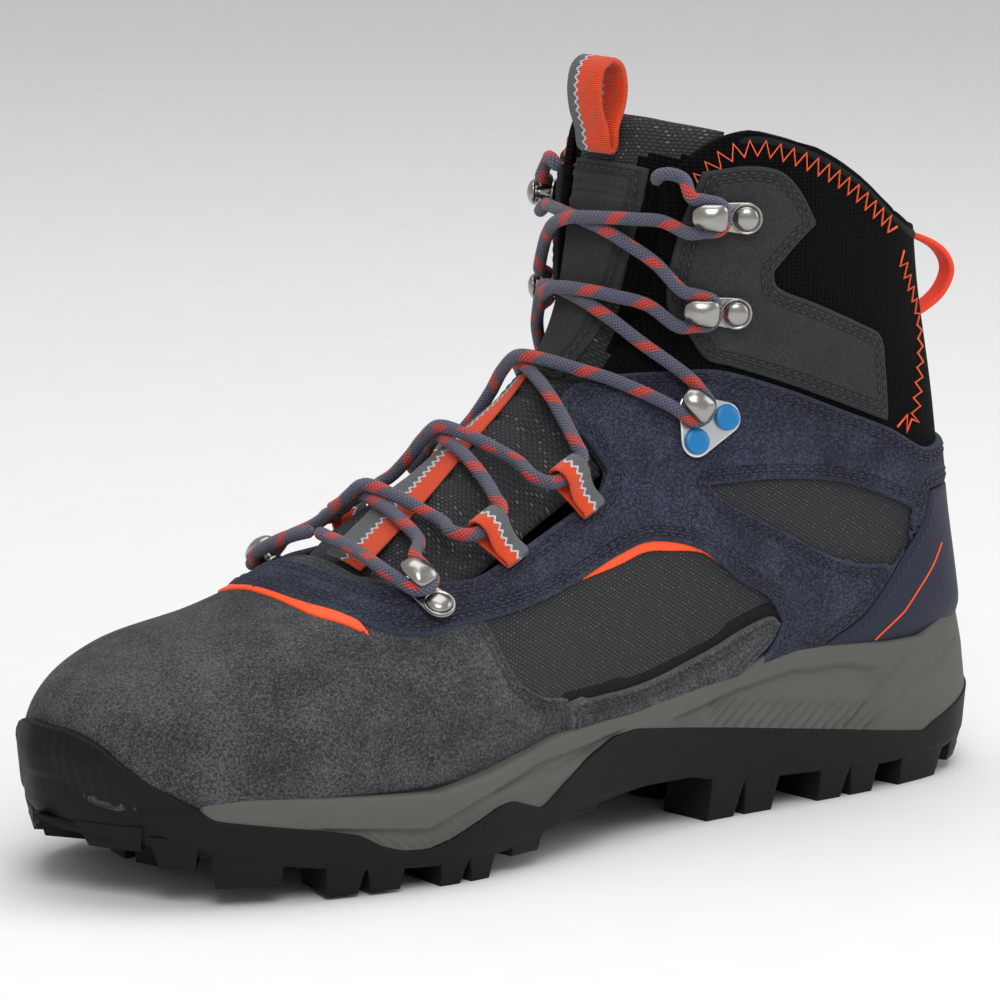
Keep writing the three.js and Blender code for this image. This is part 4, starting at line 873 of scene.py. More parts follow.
def build_upper():
    hem = above_hem(2.0)
    toe = Panel("toe_suede_upper", np.minimum(field(TOE, 1.3), hem), -1.4, 0.75, 1.2, levels=(1.9, 3.6))
    placed(toe.build(GREY_SUEDE), "root", "toe_suede", "toe_suede")
    quarter_field = np.minimum(field(QUARTER, 0.0, [WINDOW]), hem)
    quarter = Panel("quarter_navy_suede", quarter_field, 0.0, 1.9, 1.1)
    placed(quarter.build(NAVY_SUEDE), "root", "navy_suede", "quarter_suede")
    heel = Panel("heel_film", np.minimum(field(HEEL_WRAP, 0.4), hem), 0.0, 1.8, 1.3)
    placed(heel.build(HEEL_FILM), "root", "heel_film", "heel_overlay")
    rear = Panel("collar_rear_knit", field(COLLAR_REAR, 1.0), -1.4, 0.2, 0.8)
    placed(rear.build(KNIT), "root", "knit", "collar_rear")
    dark, grey, orange = [], [], []
    clear = above_sole(0.6)
    for level in (1.7, 3.3):
        dark.append(quarter.line(level, clear, 0.05))
        grey.append(toe.line(level + 0.2, lambda at: clear(at) & (at[:, 0] < -17) & (at[:, 2] < 71), 0.05))
    dark.append(heel.line(2.0, lambda at: clear(at) & (at[:, 2] < 76), 0.05))
    for side, sign in SIDES:
        here = on_side(sign)
        mesh = Panel(f"side_mesh_cloth_{side}", np.minimum(np.minimum(field(MESH, 1.4), hem), here), -1.4,
                     0.0, 0.6)
        placed(mesh.build(SIDE_MESH), "root", "mesh", f"side_mesh_{side}")
        strip_field = np.minimum(np.minimum(field(STRIP), hem), here)
        strip = Panel(f"strip_suede_{side}", strip_field, 0.0, 2.2, 1.3)
        placed(strip.build(GREY_SUEDE), "root", "toe_suede", f"side_strip_{side}")
        # painted shadow: a thin band of black binding along the strip's top edge, standing for the shade in
        # the channel between mesh and strip
        shadow_band = np.minimum(np.minimum(field(STRIP, 2.6), hem), here)
        shadow_band = np.minimum(shadow_band, 3.2 - shadow_band)
        shadow_band_panel = Panel(f"strip_painted_shadow_{side}", shadow_band, -0.4, 0.45, 0.8)
        placed(shadow_band_panel.build(BINDING), "root", "knit")
        collar = Panel(f"collar_knit_cloth_{side}", np.minimum(field(COLLAR_SIDE, 0.6), here), -1.4, 0.4,
                       1.2)
        placed(collar.build(KNIT), "root", "knit", f"collar_knit_{side}")
        ankle = Panel(f"ankle_nubuck_{side}", np.minimum(field(ANKLE), here), 0.0, 1.9, 1.0)
        placed(ankle.build(NUBUCK), "root", "nubuck", f"ankle_overlay_{side}")
        for level in (1.7, 3.3):
            grey.append(ankle.line(level, None, 0.05))
            grey.append(strip.line(level, clear, 0.05) if level < 2 else strip.line(level,
                                                                                    lambda at: at[:, 0] > 1e3))
        orange.append(collar.line(4.6, lambda at: (at[:, 2] > 150) & (at[:, 0] > 42)
                                  | (at[:, 0] > 104) & (at[:, 2] > 97), 0.1))
        x = SURFACE[:, 0]
        outside = field(QUARTER)
        arch = np.minimum(outside + 2.3 * smoothstep((x + 11) / 22) * smoothstep((42 - x) / 18),
                          0.8 - outside)
        tip = np.minimum(outside + 2.3 * smoothstep((x + 85) / 5), 0.8 - outside)
        for name, s, low, low_z in (("mesh_piping", arch, 0.1, 60), ("vamp_piping", tip, 0.6, 55)):
            reach = (x + 12 if name == "mesh_piping" else x + 85)
            s = np.minimum(np.minimum(s, reach), np.minimum(here, SURFACE[:, 2] - low_z))
            s = np.minimum(s, 43 - x if name == "mesh_piping" else -72 - x)
            s = np.minimum(s, 79 - SURFACE[:, 2])
            stripe = Panel(f"{name}_{side}", s, low, low + 0.75, 0.7)
            placed(stripe.build(ORANGE_PRINT), "root", "orange_webbing")
    lockstitch, zigzag = stitch_tree(), zigzag_tree()
    seam("navy_stitching", dark, lockstitch, THREAD_DARK, slot="navy_suede")
    seam("grey_stitching", grey, lockstitch, THREAD_GREY, slot="toe_suede")
    seam("collar_zigzag", orange, zigzag, THREAD_ORANGE, slot="orange_webbing", Swing=0.0021, Thread=0.00075)
    seam("heel_print", [drawn_line([(40.8, 96.8), (47.5, 108), (57.7, 117.5), (64.5, 122.5)], 1.75, sign)
                        for _, sign in SIDES], zigzag, ORANGE_PRINT, slot="orange_webbing", Swing=0.0,
         Thread=0.0006)

# ---- sole -----------------------------------------------------------------------------------------
PLAN = [[-148, 3], [-146.5, -6], [-142, -16], [-133.5, -27.5], [-120, -39.5], [-100, -48], [-75, -54],
        [-50, -56],
        [-25, -52.5], [5, -46], [40, -42.5], [75, -42.5], [105, -41.5], [130, -36], [144, -25], [151, -11],
        [152, 0], [151, 11], [144, 25], [130, 35.5], [105, 40.5], [75, 40.5], [40, 39], [5, 41], [-25, 46.5],
        [-50, 50.5], [-75, 50], [-100, 46], [-120, 38], [-134, 27.5], [-142.5, 17], [-146.5, 9]]
WALL = np.array([[-6, 5.5], [0, 4], [10, 1.3], [22, 0.3], [34, 1.6], [62, 7]])
PLATE_UNDER = np.array([[-170, 22], [-150, 19], [-135, 15.5], [-120, 12.5], [-105, 10.5], [-85, 7.5],
                        [-60, 6],
                        [-40, 7], [-25, 9.5], [-8, 13], [12, 14.5], [30, 14], [40, 11.5], [60, 10], [100, 8],
                        [125, 8], [145, 10], [170, 14]])
BLACK_TOP = np.array([[-170, 43], [-145, 42.5], [-140.5, 40], [-133, 31.5], [-126, 26.3], [-122, 22.6],
                      [-97, 18.6], [-86, 16.2], [-80, 12.8], [-74, 11], [-67, 10.6], [-60, 12.5],
                      [-53, 15.4],
                      [-45.7, 18.6], [-40.3, 19.3], [-29.4, 15.6], [-19.9, 21.3], [-11.7, 25], [0.7, 29],
                      [8.6, 29.6], [40, 25.2], [74, 20.5], [115, 14.4], [118.5, 16.2], [128, 19], [140, 22],
                      [150, 24], [170, 26]])
FOAM_TOP = np.array([[-170, 26.5], [-126, 26.8], [-113, 27.5], [-91, 26], [-64, 24.5], [-45.8, 27.5],
                     [-22, 32.5], [8.6, 33.6], [31, 36.6], [45.5, 38.6], [56, 41.5], [63, 43], [77, 42],
                     [103, 40], [116, 39.8], [125, 43], [131, 49], [137, 51], [170, 51]])
LUGS = [(-145, -137, 13.5, False), (-134, -126, 9.5, False), (-121.6, -106, 5, False), (-94, -74, 1, True),
        (-62, -46, 0, True), (-39, -29, 4.5, False), (-20, -8, 11, False), (38, 60.5, 0, True),
        (77, 97, 0, True), (108, 125, 0, False), (131, 144, 3, False)]


def even_ring(count):
    ring = rounded(PLAN, 0.8, 90)
    closed = np.vstack([ring, ring[:1]])
    run = np.concatenate([[0], np.cumsum(np.linalg.norm(np.diff(closed, axis=0), axis=1))])
    at = np.linspace(0, run[-1], count, endpoint=False)
    ring = np.column_stack([np.interp(at, run, closed[:, k]) for k in (0, 1)])
    way = np.roll(ring, -2, 0) - np.roll(ring, 2, 0)
    inward = np.column_stack([-way[:, 1], way[:, 0]])
    return ring, inward / np.linalg.norm(inward, axis=1, keepdims=True)


RING, INWARD = even_ring(760)


def over_suede():
    """How far in from the sole's plan the toe's suede lies, by place round the ring and height."""
    low = (SURFACE[:, 0] < -78) & (SURFACE[:, 2] < 52) & (SURFACE[:, 2] > 12)
    at = SURFACE[low]
    near = np.array([np.argmin(((RING - p[:2]) ** 2).sum(1)) for p in at])
    deep = ((at[:, :2] - RING[near]) * INWARD[near]).sum(1)
    heights = np.arange(12, 53, 2.0)
    count = len(RING) // 4
    table = np.full((count, len(heights)), 9.0)
    np.minimum.at(table, (np.minimum(near // 4, count - 1),
                          np.clip(((at[:, 2] - 12) / 2).round().astype(int), 0, 20)), deep)
    for _ in range(3):
        table = np.minimum(table, np.minimum(np.roll(table, 1, 0), np.roll(table, -1, 0)) + 0.3)
    for _ in range(6):
        table = (np.roll(table, 1, 0) + 2 * table + np.roll(table, -1, 0)) / 4
    return heights, table


def proud(z):
    """Extra inset, mostly negative, that keeps the rubber outside the toe's suede at heights z."""
    ring_at = np.arange(len(RING)) / 4 - 0.375
    h = np.clip((z - COVER[0][0]) / 2, 0, len(COVER[0]) - 1.001)
    i, j = ring_at.astype(int) % len(COVER[1]), h.astype(int)
    share = h - j
    row = COVER[1][i, j] * (1 - share) + COVER[1][i, j + 1] * share
    own = np.interp(z, WALL[:, 0], WALL[:, 1])
    gain = np.minimum(row - 1.9 - own, 0)
    return gain * smoothstep((-84 - RING[:, 0]) / 14)


def on_wall(z, extra=0.0, ring=None, inward=None):
    """The sole's outer wall at heights z, extra mm further in, drawn back towards the ground at the toe."""
    ring = RING if ring is None else ring
    inward = INWARD if inward is None else inward
    inset = np.interp(z, WALL[:, 0], WALL[:, 1]) + extra
    rake = 0.3 * np.maximum(0, 36 - z) * smoothstep((-116 - ring[:, 0]) / 34)
    flat = ring + inward * np.broadcast_to(inset, len(ring))[:, None]
    return np.column_stack([flat[:, 0] + rake, flat[:, 1], np.broadcast_to(z, len(ring))])


COVER = over_suede()


def line_height(line, x):
    """A height line with its corners eased a little."""
    return sum(np.interp(x + d, line[:, 0], line[:, 1]) for d in (-1.2, -0.4, 0.4, 1.2)) / 4


def ring_piece(name, rows, finish):
    """A band round the boot from rows of rings, closed on itself."""
    count, n = len(rows), len(rows[0])
    index = np.arange(count * n).reshape(count, n)
    up, side = np.roll(index, -1, 0), np.roll(index, -1, 1)
    both = np.roll(up, -1, 1)
    faces = np.stack([index, side, both, up], -1).reshape(-1, 4)
    return plain_mesh(name, np.concatenate(rows), faces, finish, mend=True)


def groove(q, line, deep, wide):
    return deep * np.exp(-(distance_to(np.array(line, float), q) / wide) ** 2)


def ledge(q, line, deep, fade):
    """A step: full depth just under a line, easing out below it."""
    line = np.array(line, float)
    d = distance_to(line, q)
    under = q[:, 1] < np.interp(q[:, 0], line[:, 0], line[:, 1])
    within = smoothstep((q[:, 0] - line[0, 0]) / 8) * smoothstep((line[-1, 0] - q[:, 0]) / 8)
    return np.where(under, deep * smoothstep(d / 0.8 + 0.2) * np.exp(-d / fade), 0) * within


def foam_relief(q):
    """How far the sculpted foam wall is cut in at points x, z."""
    cut = ledge(q, [(-100, 19.5), (-67.2, 15.7), (-52.4, 21.4), (-31.4, 27), (-11.7, 28.5), (6, 30.5)], 1.4,
                7)
    cut = cut + ledge(q, [(20, 29.6), (32.9, 31.6), (45.6, 34.1), (66.6, 36.8), (84.7, 36.1), (99.5, 33.4)],
                      1.7, 9)
    cut = cut + groove(q, [(120, 41), (116.2, 38.9), (100, 29.5), (85.1, 19.6)], 0.8, 1.1)
    cut = cut + groove(q, [(132, 36), (123.3, 32.3), (108, 25.5), (92.5, 17.8)], 0.7, 1.0)
    cut = cut + groove(q, [(-46, 22.5), (-31, 25.5), (-24, 23.5), (-8, 27)], 0.6, 0.9)
    low = q[:, 1] - line_height(BLACK_TOP, q[:, 0])
    back = smoothstep((q[:, 0] - 34) / 6) * smoothstep((100 - q[:, 0]) / 8) * smoothstep((8.5 - low) / 3)
    front = smoothstep((q[:, 0] + 84) / 5) * smoothstep((-48 - q[:, 0]) / 6) * smoothstep((5.5 - low) / 2)
    rib = 0.5 + 0.5 * np.cos(2 * np.pi * (q[:, 0] - 1.5 * q[:, 1]) / 4.6)
    slash = 0.5 + 0.5 * np.cos(2 * np.pi * (q[:, 0] + 1.2 * q[:, 1]) / 3.4)
    return cut + 1.0 * rib * back + 0.6 * slash * front


def rubber_relief(q):
    cut = groove(q, [(-152, 30.1), (-142.9, 29.4), (-137.2, 24), (-127.8, 15.8), (-118, 12.2)], 0.9, 0.8)
    cut = cut + ledge(q, [(-152, 29.6), (-142.9, 28.9), (-137.2, 23.5), (-127.8, 15.3), (-112, 11)], 0.7, 12)
    # fine diamond pattern pressed in below the foam
    field_ = smoothstep((q[:, 0] + 122) / 8) * smoothstep((-88 - q[:, 0]) / 8)
    field_ = field_ * smoothstep((line_height(BLACK_TOP, q[:, 0]) - 1.4 - q[:, 1]) / 1.0)
    wave = np.cos(np.pi * (q[:, 0] + q[:, 1]) / 1.7) * np.cos(np.pi * (q[:, 0] - q[:, 1]) / 1.7)
    return cut + 0.22 * field_ * (0.5 + 0.5 * wave)


def build_sole():
    x = RING[:, 0]
    top, low = line_height(FOAM_TOP, x), line_height(BLACK_TOP, x)
    rows = []
    shown = 30
    # in the toe the rubber climbs over the foam, which ends behind it
    behind = 3.4 * smoothstep((low - top + 2.5) / 3)
    foot = np.minimum(low - 2.5, top - 6)
    for t in np.linspace(0, 1, shown):
        z = foot * (1 - t) + (top - 0.9) * t
        flat = on_wall(z)
        cut = foam_relief(flat[:, [0, 2]]) * smoothstep((1 - t) * 5) * smoothstep((z - low + 1) / 1.5)
        rows.append(on_wall(z, cut + behind))
    for inset, down in ((0.25, 0.35), (0.8, 0.05), (1.6, 0.0), (9, 0.4), (11, 2)):
        rows.append(on_wall(top - down, inset + behind))
    rows.append(on_wall(foot, 11 + behind))
    foam = ring_piece("midsole_foam_wall", rows, FOAM)
    placed(foam, "root", "midsole_foam", "midsole")

    under = line_height(PLATE_UNDER, x)
    rows = []
    for t in np.linspace(0, 1, shown):
        z = (under - 0.5) * (1 - t) + (low - 0.5) * t
        flat = on_wall(z)
        cut = rubber_relief(flat[:, [0, 2]])
        out = -0.5 * smoothstep(t * 6)
        rows.append(on_wall(z, cut + out + proud(z)))
    for inset, down in ((-0.35, 0.12), (0.1, 0.0), (0.9, 0.05), (4.5, 0.3)):
        rows.append(on_wall(low - down, inset + proud(low - down)))
    rows += [on_wall(under + 2.5, 4.5), on_wall(under + 2.5, 9.0), on_wall(under - 0.2, 9.0),
             on_wall(under - 0.5, 1.5)]
    band = ring_piece("outsole_wall", rows, RUBBER)

    # underside plate between the walls
    xs = np.linspace(-146, 148, 150)
    half = {}
    for sign in (-1, 1):
        side = sign * RING[:, 1] > 0
        edge = RING + INWARD * 5
        order = np.argsort(edge[side, 0])
        half[sign] = np.interp(xs, edge[side, 0][order], edge[side, 1][order])
    across = np.linspace(0, 1, 15)
    deck = np.stack([np.stack([np.full(15, a), lo + (hi - lo) * across,
                               np.full(15, float(line_height(PLATE_UNDER, a)))], -1)
                     for a, lo, hi in zip(xs, half[-1], half[1])])
    points = np.concatenate([deck.reshape(-1, 3), deck.reshape(-1, 3) + [0, 0, 2.6]])
    index = np.arange(len(xs) * 15).reshape(len(xs), 15)
    n = index.size
    low_faces = np.stack([index[:-1, :-1], index[:-1, 1:], index[1:, 1:], index[1:, :-1]], -1).reshape(-1, 4)
    loop = np.concatenate([index[0, :-1], index[:-1, -1], index[-1, :0:-1], index[:0:-1, 0]])
    skirt = np.stack([loop, np.roll(loop, -1), np.roll(loop, -1) + n, loop + n], -1)
    plate = plain_mesh("outsole_plate", points, np.concatenate([low_faces, low_faces[:, ::-1] + n, skirt]),
                       RUBBER, mend=True)

    lugs = []
    ring_side = {sign: np.argsort(RING[:, 0] + 1000 * (sign * RING[:, 1] <= 0))[
            :int((sign * RING[:, 1] > 0).sum())]
                 for sign in (-1, 1)}

    def block(x0, x1, bottom, sign, cut0=0.0, cut1=0.0, reach=16.0):
        """One tread lug at the edge of the sole, a little narrower at the ground."""
        rise = float(line_height(PLATE_UNDER, (x0 + x1) / 2)) + 1.5 - bottom
        levels = [(0, 0.0, 0.0), (rise * 0.38, -0.1, 0.25), (rise * 0.42, 0.15, 0.3),
                  (rise * 0.75, 0.1, 0.7),
                  (rise + 1.5, 0.2, 1.0)]
        side = ring_side[sign]
        order = side[np.argsort(RING[side, 0])]
        rings = []
        for up, out, spread in levels:
            share = up / (rise + 1.5)
            px = np.linspace(x0 - spread + cut0 * share, x1 + spread + cut1 * share, 9)
            spot = np.column_stack([np.interp(px, RING[order, 0], RING[order, k]) for k in (0, 1)])
            into = np.column_stack([np.interp(px, RING[order, 0], INWARD[order, k]) for k in (0, 1)])
            into /= np.linalg.norm(into, axis=1, keepdims=True)
            z = np.full(9, bottom + up)
            outer = on_wall(z, -0.35 + out, spot, into)
            deep = np.minimum(reach, np.maximum(np.abs(spot[:, 1]) - 4, 7))
            inner = on_wall(z, deep, spot, into)[::-1]
            rings.append(np.concatenate([outer, inner]))
        return rings

    def pad(x0, x1, y0, y1, bottom, skew):
        top_ = float(line_height(PLATE_UNDER, (x0 + x1) / 2)) + 1.5
        rings = []
        for z, spread in ((bottom, 0.0), (top_, 1.0)):
            rings.append(np.array([[x0 - spread, y0, z], [x1 + spread, y0, z], [x1 + spread + skew, y1, z],
                                   [x0 - spread + skew, y1, z]]))
        return rings

    shapes = []
    for x0, x1, bottom, notch in LUGS:
        middle = (x0 + x1) / 2
        for sign in (-1, 1):
            if notch:
                shapes.append(block(x0, middle - 1.8, bottom, sign, 0, 1.3))
                shapes.append(block(middle + 1.8, x1, bottom, sign, -1.3, 0))
            else:
                shapes.append(block(x0, x1, bottom, sign))
            if x1 - x0 > 14:
                half_ = (x1 - x0) * 0.3
                shapes.append(pad(middle - half_, middle + half_, sign * 2.2, sign * 12, bottom, 2.5))
    for number, rings in enumerate(shapes):
        n = len(rings[0])
        points = np.concatenate(rings)
        faces = [list(range(n)), [k + (len(rings) - 1) * n for k in range(n)][::-1]]
        for r in range(len(rings) - 1):
            faces += [[r * n + k, r * n + (k + 1) % n, (r + 1) * n + (k + 1) % n,
                       (r + 1) * n + k] for k in range(n)]
        lugs.append(plain_mesh(f"lug_{number}", points, faces, RUBBER, mend=True))
    tread = join("outsole_lugs", lugs)
    bevel = tread.modifiers.new("worn edges", "BEVEL")
    bevel.width, bevel.segments, bevel.limit_method, bevel.angle_limit = 0.0006, 2, "ANGLE", math.radians(38)
    finish_modifiers(tread)
    for made in (band, plate, tread):
        placed(made, "root", "outsole_rubber", "outsole")

    # removable footbed, seen down the shaft
    xs = np.linspace(-116, 120, 70)
    half = {}
    for sign in (-1, 1):
        edge = RING + INWARD * 13.6
        side = sign * edge[:, 1] > 0
        order = np.argsort(edge[side, 0])
        half[sign] = np.interp(xs, edge[side, 0][order], edge[side, 1][order])
    t = np.linspace(-1, 1, 21)
    end = np.sqrt(np.clip(1 - ((xs - 2) / 118.5) ** 12, 0.02, 1))
    rows = []
    for a, lo, hi, e in zip(xs, half[-1], half[1], end):
        y = (lo + hi) / 2 + (hi - lo) / 2 * t * e
        z = float(np.interp(a, BED[:, 0], BED[:, 1])) + 8.6 + 1.2 * np.abs(t) ** 4
        upper = np.stack([np.full(21, a), y, z], -1)
        rows.append(np.concatenate([upper, (upper - [0, 0, 5])[::-1]]))
    bed = loft("footbed_cloth", rows, LINING)
    placed(bed, "root", "lining", "footbed")


def loft(name, rows, finish, uv=None, mend=True):
    """A solid from closed rings in a row, with both ends closed."""
    rows = [np.asarray(r, float) for r in rows]
    count, n = len(rows), len(rows[0])
    index = np.arange(count * n).reshape(count, n)
    side = np.roll(index, -1, 1)
    faces = np.stack([index[:-1], side[:-1], side[1:], index[1:]], -1).reshape(-1, 4)
    points = np.concatenate(rows + [rows[0].mean(0)[None], rows[-1].mean(0)[None]])
    a, b = count * n, count * n + 1
    caps = [[a, index[0, (k + 1) % n], index[0, k]] for k in range(n)]
    caps += [[b, index[-1, k], index[-1, (k + 1) % n]] for k in range(n)]
    if uv is not None:
        uv = np.concatenate([np.concatenate(uv), uv[0].mean(0)[None], uv[-1].mean(0)[None]])
    return plain_mesh(name, points, faces.tolist() + caps, finish, uv, mend=mend)

# ---- curves, tubes and bands ----------------------------------------------------------------------
def catmull(points, per=16, closed=False):
    """A smooth centripetal curve through points, per steps between each two."""
    p = np.array(points, float)
    count = len(p)
    out = []
    for i in range(count if closed else count - 1):
        p1, p2 = p[i], p[(i + 1) % count]
        p0 = p[i - 1] if closed or i else 2 * p[0] - p[1]
        p3 = p[(i + 2) % count] if closed or i + 2 < count else 2 * p[-1] - p[-2]
        g0, g1, g2 = [max(float(np.linalg.norm(b - a)) ** 0.5, 1e-4) for a,
                      b in ((p0, p1), (p1, p2), (p2, p3))]
        m1 = ((p1 - p0) / g0 - (p2 - p0) / (g0 + g1) + (p2 - p1) / g1) * g1
        m2 = ((p2 - p1) / g1 - (p3 - p1) / (g1 + g2) + (p3 - p2) / g2) * g1
        t = (np.arange(per) / per)[:, None]
        out.append(p1 + m1 * t + (3 * (p2 - p1) - 2 * m1 - m2) * t ** 2 + (2 * (p1 - p2) + m1 + m2) * t ** 3)
    if not closed:
        out.append(p[-1:])
    return np.concatenate(out)


def evenly(points, step):
    run = np.concatenate([[0], np.cumsum(np.linalg.norm(np.diff(points, axis=0), axis=1))])
    at = np.linspace(0, run[-1], max(int(run[-1] / step), 4) + 1)
    return np.column_stack([np.interp(at, run, points[:, k]) for k in range(points.shape[1])]), at


def tube(name, line, run, radius, finish, sides=12):
    """A round cord along a line, its ends rounded; cloth coordinates are mm along and share of a
    turn round."""
    way = np.gradient(line, axis=0)
    way /= np.linalg.norm(way, axis=1, keepdims=True)
    side = np.cross(way[0], [0.3, 0.2, 0.9])
    rows = []
    angles = np.arange(sides) * 2 * np.pi / sides
    for k, (at, along) in enumerate(zip(line, way)):
        side = side - along * (side @ along)
        side /= np.linalg.norm(side)
        up = np.cross(along, side)
        end = min(run[k], run[-1] - run[k]) / radius
        r = radius * math.sqrt(max(1 - (1 - min(end, 1)) ** 2, 0.09))
        rows.append(at + r * (np.cos(angles)[:, None] * side + np.sin(angles)[:, None] * up))
    n = len(rows)
    index = np.arange(n * sides).reshape(n, sides)
    faces = np.stack([index[:-1], np.roll(index[:-1], -1, 1), np.roll(index[1:], -1, 1), index[1:]], -1)
    share = np.arange(sides) / sides
    v0, v1 = np.broadcast_to(share, (n - 1, sides)), np.broadcast_to(share + 1 / sides, (n - 1, sides))
    u0 = np.broadcast_to(run[:-1, None], (n - 1, sides))
    u1 = np.broadcast_to(run[1:, None], (n - 1, sides))
    uv = np.stack([np.stack([u0, v0], -1), np.stack([u0, v1], -1), np.stack([u1, v1], -1),
                   np.stack([u1, v0], -1)], 2)
    ends = [list(range(sides))[::-1], list(range((n - 1) * sides, n * sides))]
    corners = np.concatenate([uv.reshape(-1, 2), np.tile([run[0], 0.5], (sides, 1)),
                              np.tile([run[-1], 0.5], (sides, 1))])
    return plain_mesh(name, np.concatenate(rows), faces.reshape(-1, 4).tolist() + ends, finish,
                      corners / 100, mend=True)


def band(name, outline, width, at, thick, finish, turn=1.0, step=0.6, shift=0.0):
    """A closed loop of tape: its outline seen edge on, in the plane of at's first two axes."""
    origin, first, second = at
    third = np.cross(first, second)
    ring, run = evenly(np.vstack([catmull(outline, 24, True), np.array(outline[:1], float)]), step)
    ring, run = ring[:-1], run[:-1]
    way = np.roll(ring, -1, 0) - np.roll(ring, 1, 0)
    inward = np.column_stack([-way[:, 1], way[:, 0]])
    inward /= np.linalg.norm(inward, axis=1, keepdims=True)
    centre = ring.mean(0)
    if ((centre - ring) * inward).sum() < 0:
        inward = -inward
    w, c = width / 2, min(0.3, thick / 3)
    rows, uv = [], []
    for across, deep in ((w - c, 0), (w, c), (w, thick - c), (w - c, thick), (w / 3, thick + 0.05),
                         (-w / 3, thick + 0.05),
                         (c - w, thick), (-w, thick - c), (-w, c), (c - w, 0), (-w / 3, -0.05),
                         (w / 3, -0.05)):
        flat = ring + inward * deep
        rows.append(origin + flat[:, :1] * first + flat[:, 1:] * second + across * third)
        uv.append(np.column_stack([np.full(len(ring), across * turn + shift), run]) / 100)
    count, n = len(rows), len(ring)
    index = np.arange(count * n).reshape(count, n)
    up, side = np.roll(index, -1, 0), np.roll(index, -1, 1)
    faces = np.stack([index, side, np.roll(up, -1, 1), up], -1).reshape(-1, 4)
    return plain_mesh(name, np.concatenate(rows), faces, finish, np.concatenate(uv), mend=True)


# ---- lacing hardware and lace ---------------------------------------------------------------------
LACE_DIA, POST_R, CAP_R, RIVET_R = 3.5, 1.4, 4.4, 3.2
PLATE_LOW, PLATE_HIGH = 2.5, 3.5
LACE_LEVEL = PLATE_HIGH + 0.35 + LACE_DIA / 2
CAP_BASE = LACE_LEVEL + LACE_DIA / 2 + 0.3
EYE_LEVEL = PLATE_LOW + 3.6
HOOKS = {"hook_top": (11.45, 42, [(9.6, 0)]), "hook_middle": (9.85, 42, [(9.6, 0)]),
         "hook_lower": (8.3, 46, [(9.4, 4.2), (6.6, -6.4)]), "lace_ring": (4.2, 38, [(8.6, 0)])}
EYES = {"webbing_eye_lower": (5.15, 37), "webbing_eye_upper": (6.3, 39)}
STOPS = ["lace_ring", "webbing_eye_lower", "webbing_eye_upper", "hook_lower", "hook_middle", "hook_top"]


def guide_frame(u, angle):
    """On the last: x away from the tongue, y along the boot, z outward; and which way y climbs."""
    origin, z = on_last(u, angle), last_normal(u, angle)
    up = on_last(u + 0.1, angle) - on_last(u - 0.1, angle)
    y = up - z * (up @ z)
    y /= np.linalg.norm(y)
    x = np.cross(y, z)
    if x[1] * np.sign(angle) < 0:
        x, y = -x, -y
    return origin, x, y, z, (-1 if y[2] < 0 else 1)


def around(radius, count=40, centre=(0, 0)):
    t = np.arange(count) * 2 * np.pi / count
    return np.column_stack([centre[0] + radius * np.cos(t), centre[1] + radius * np.sin(t)])


def hull(points):
    p = [Vector((float(a), float(b))) for a, b in points]
    return np.array([tuple(p[i]) for i in geometry.convex_hull_2d(p)])


def struck(name, at, outline, profile, finish, bow=0.0):
    """A small metal part: one outline taken up through heights and drawn in or out at each."""
    origin, x, y, z = at[:4]
    closed = np.vstack([outline, outline[:1]])
    run = np.concatenate([[0], np.cumsum(np.linalg.norm(np.diff(closed, axis=0), axis=1))])
    t = np.linspace(0, run[-1], 49)[:-1]
    outline = np.column_stack([np.interp(t, run, closed[:, k]) for k in (0, 1)])
    c = (outline.max(0) + outline.min(0)) / 2
    rows = []
    for share, height in profile:
        flat = c + (outline - c) * share
        high = height - bow * ((flat[:, 0] - c[0]) / 4.5) ** 2
        rows.append(origin + flat[:, :1] * x + flat[:, 1:] * y + high[:, None] * z)
    return loft(name, rows, finish)


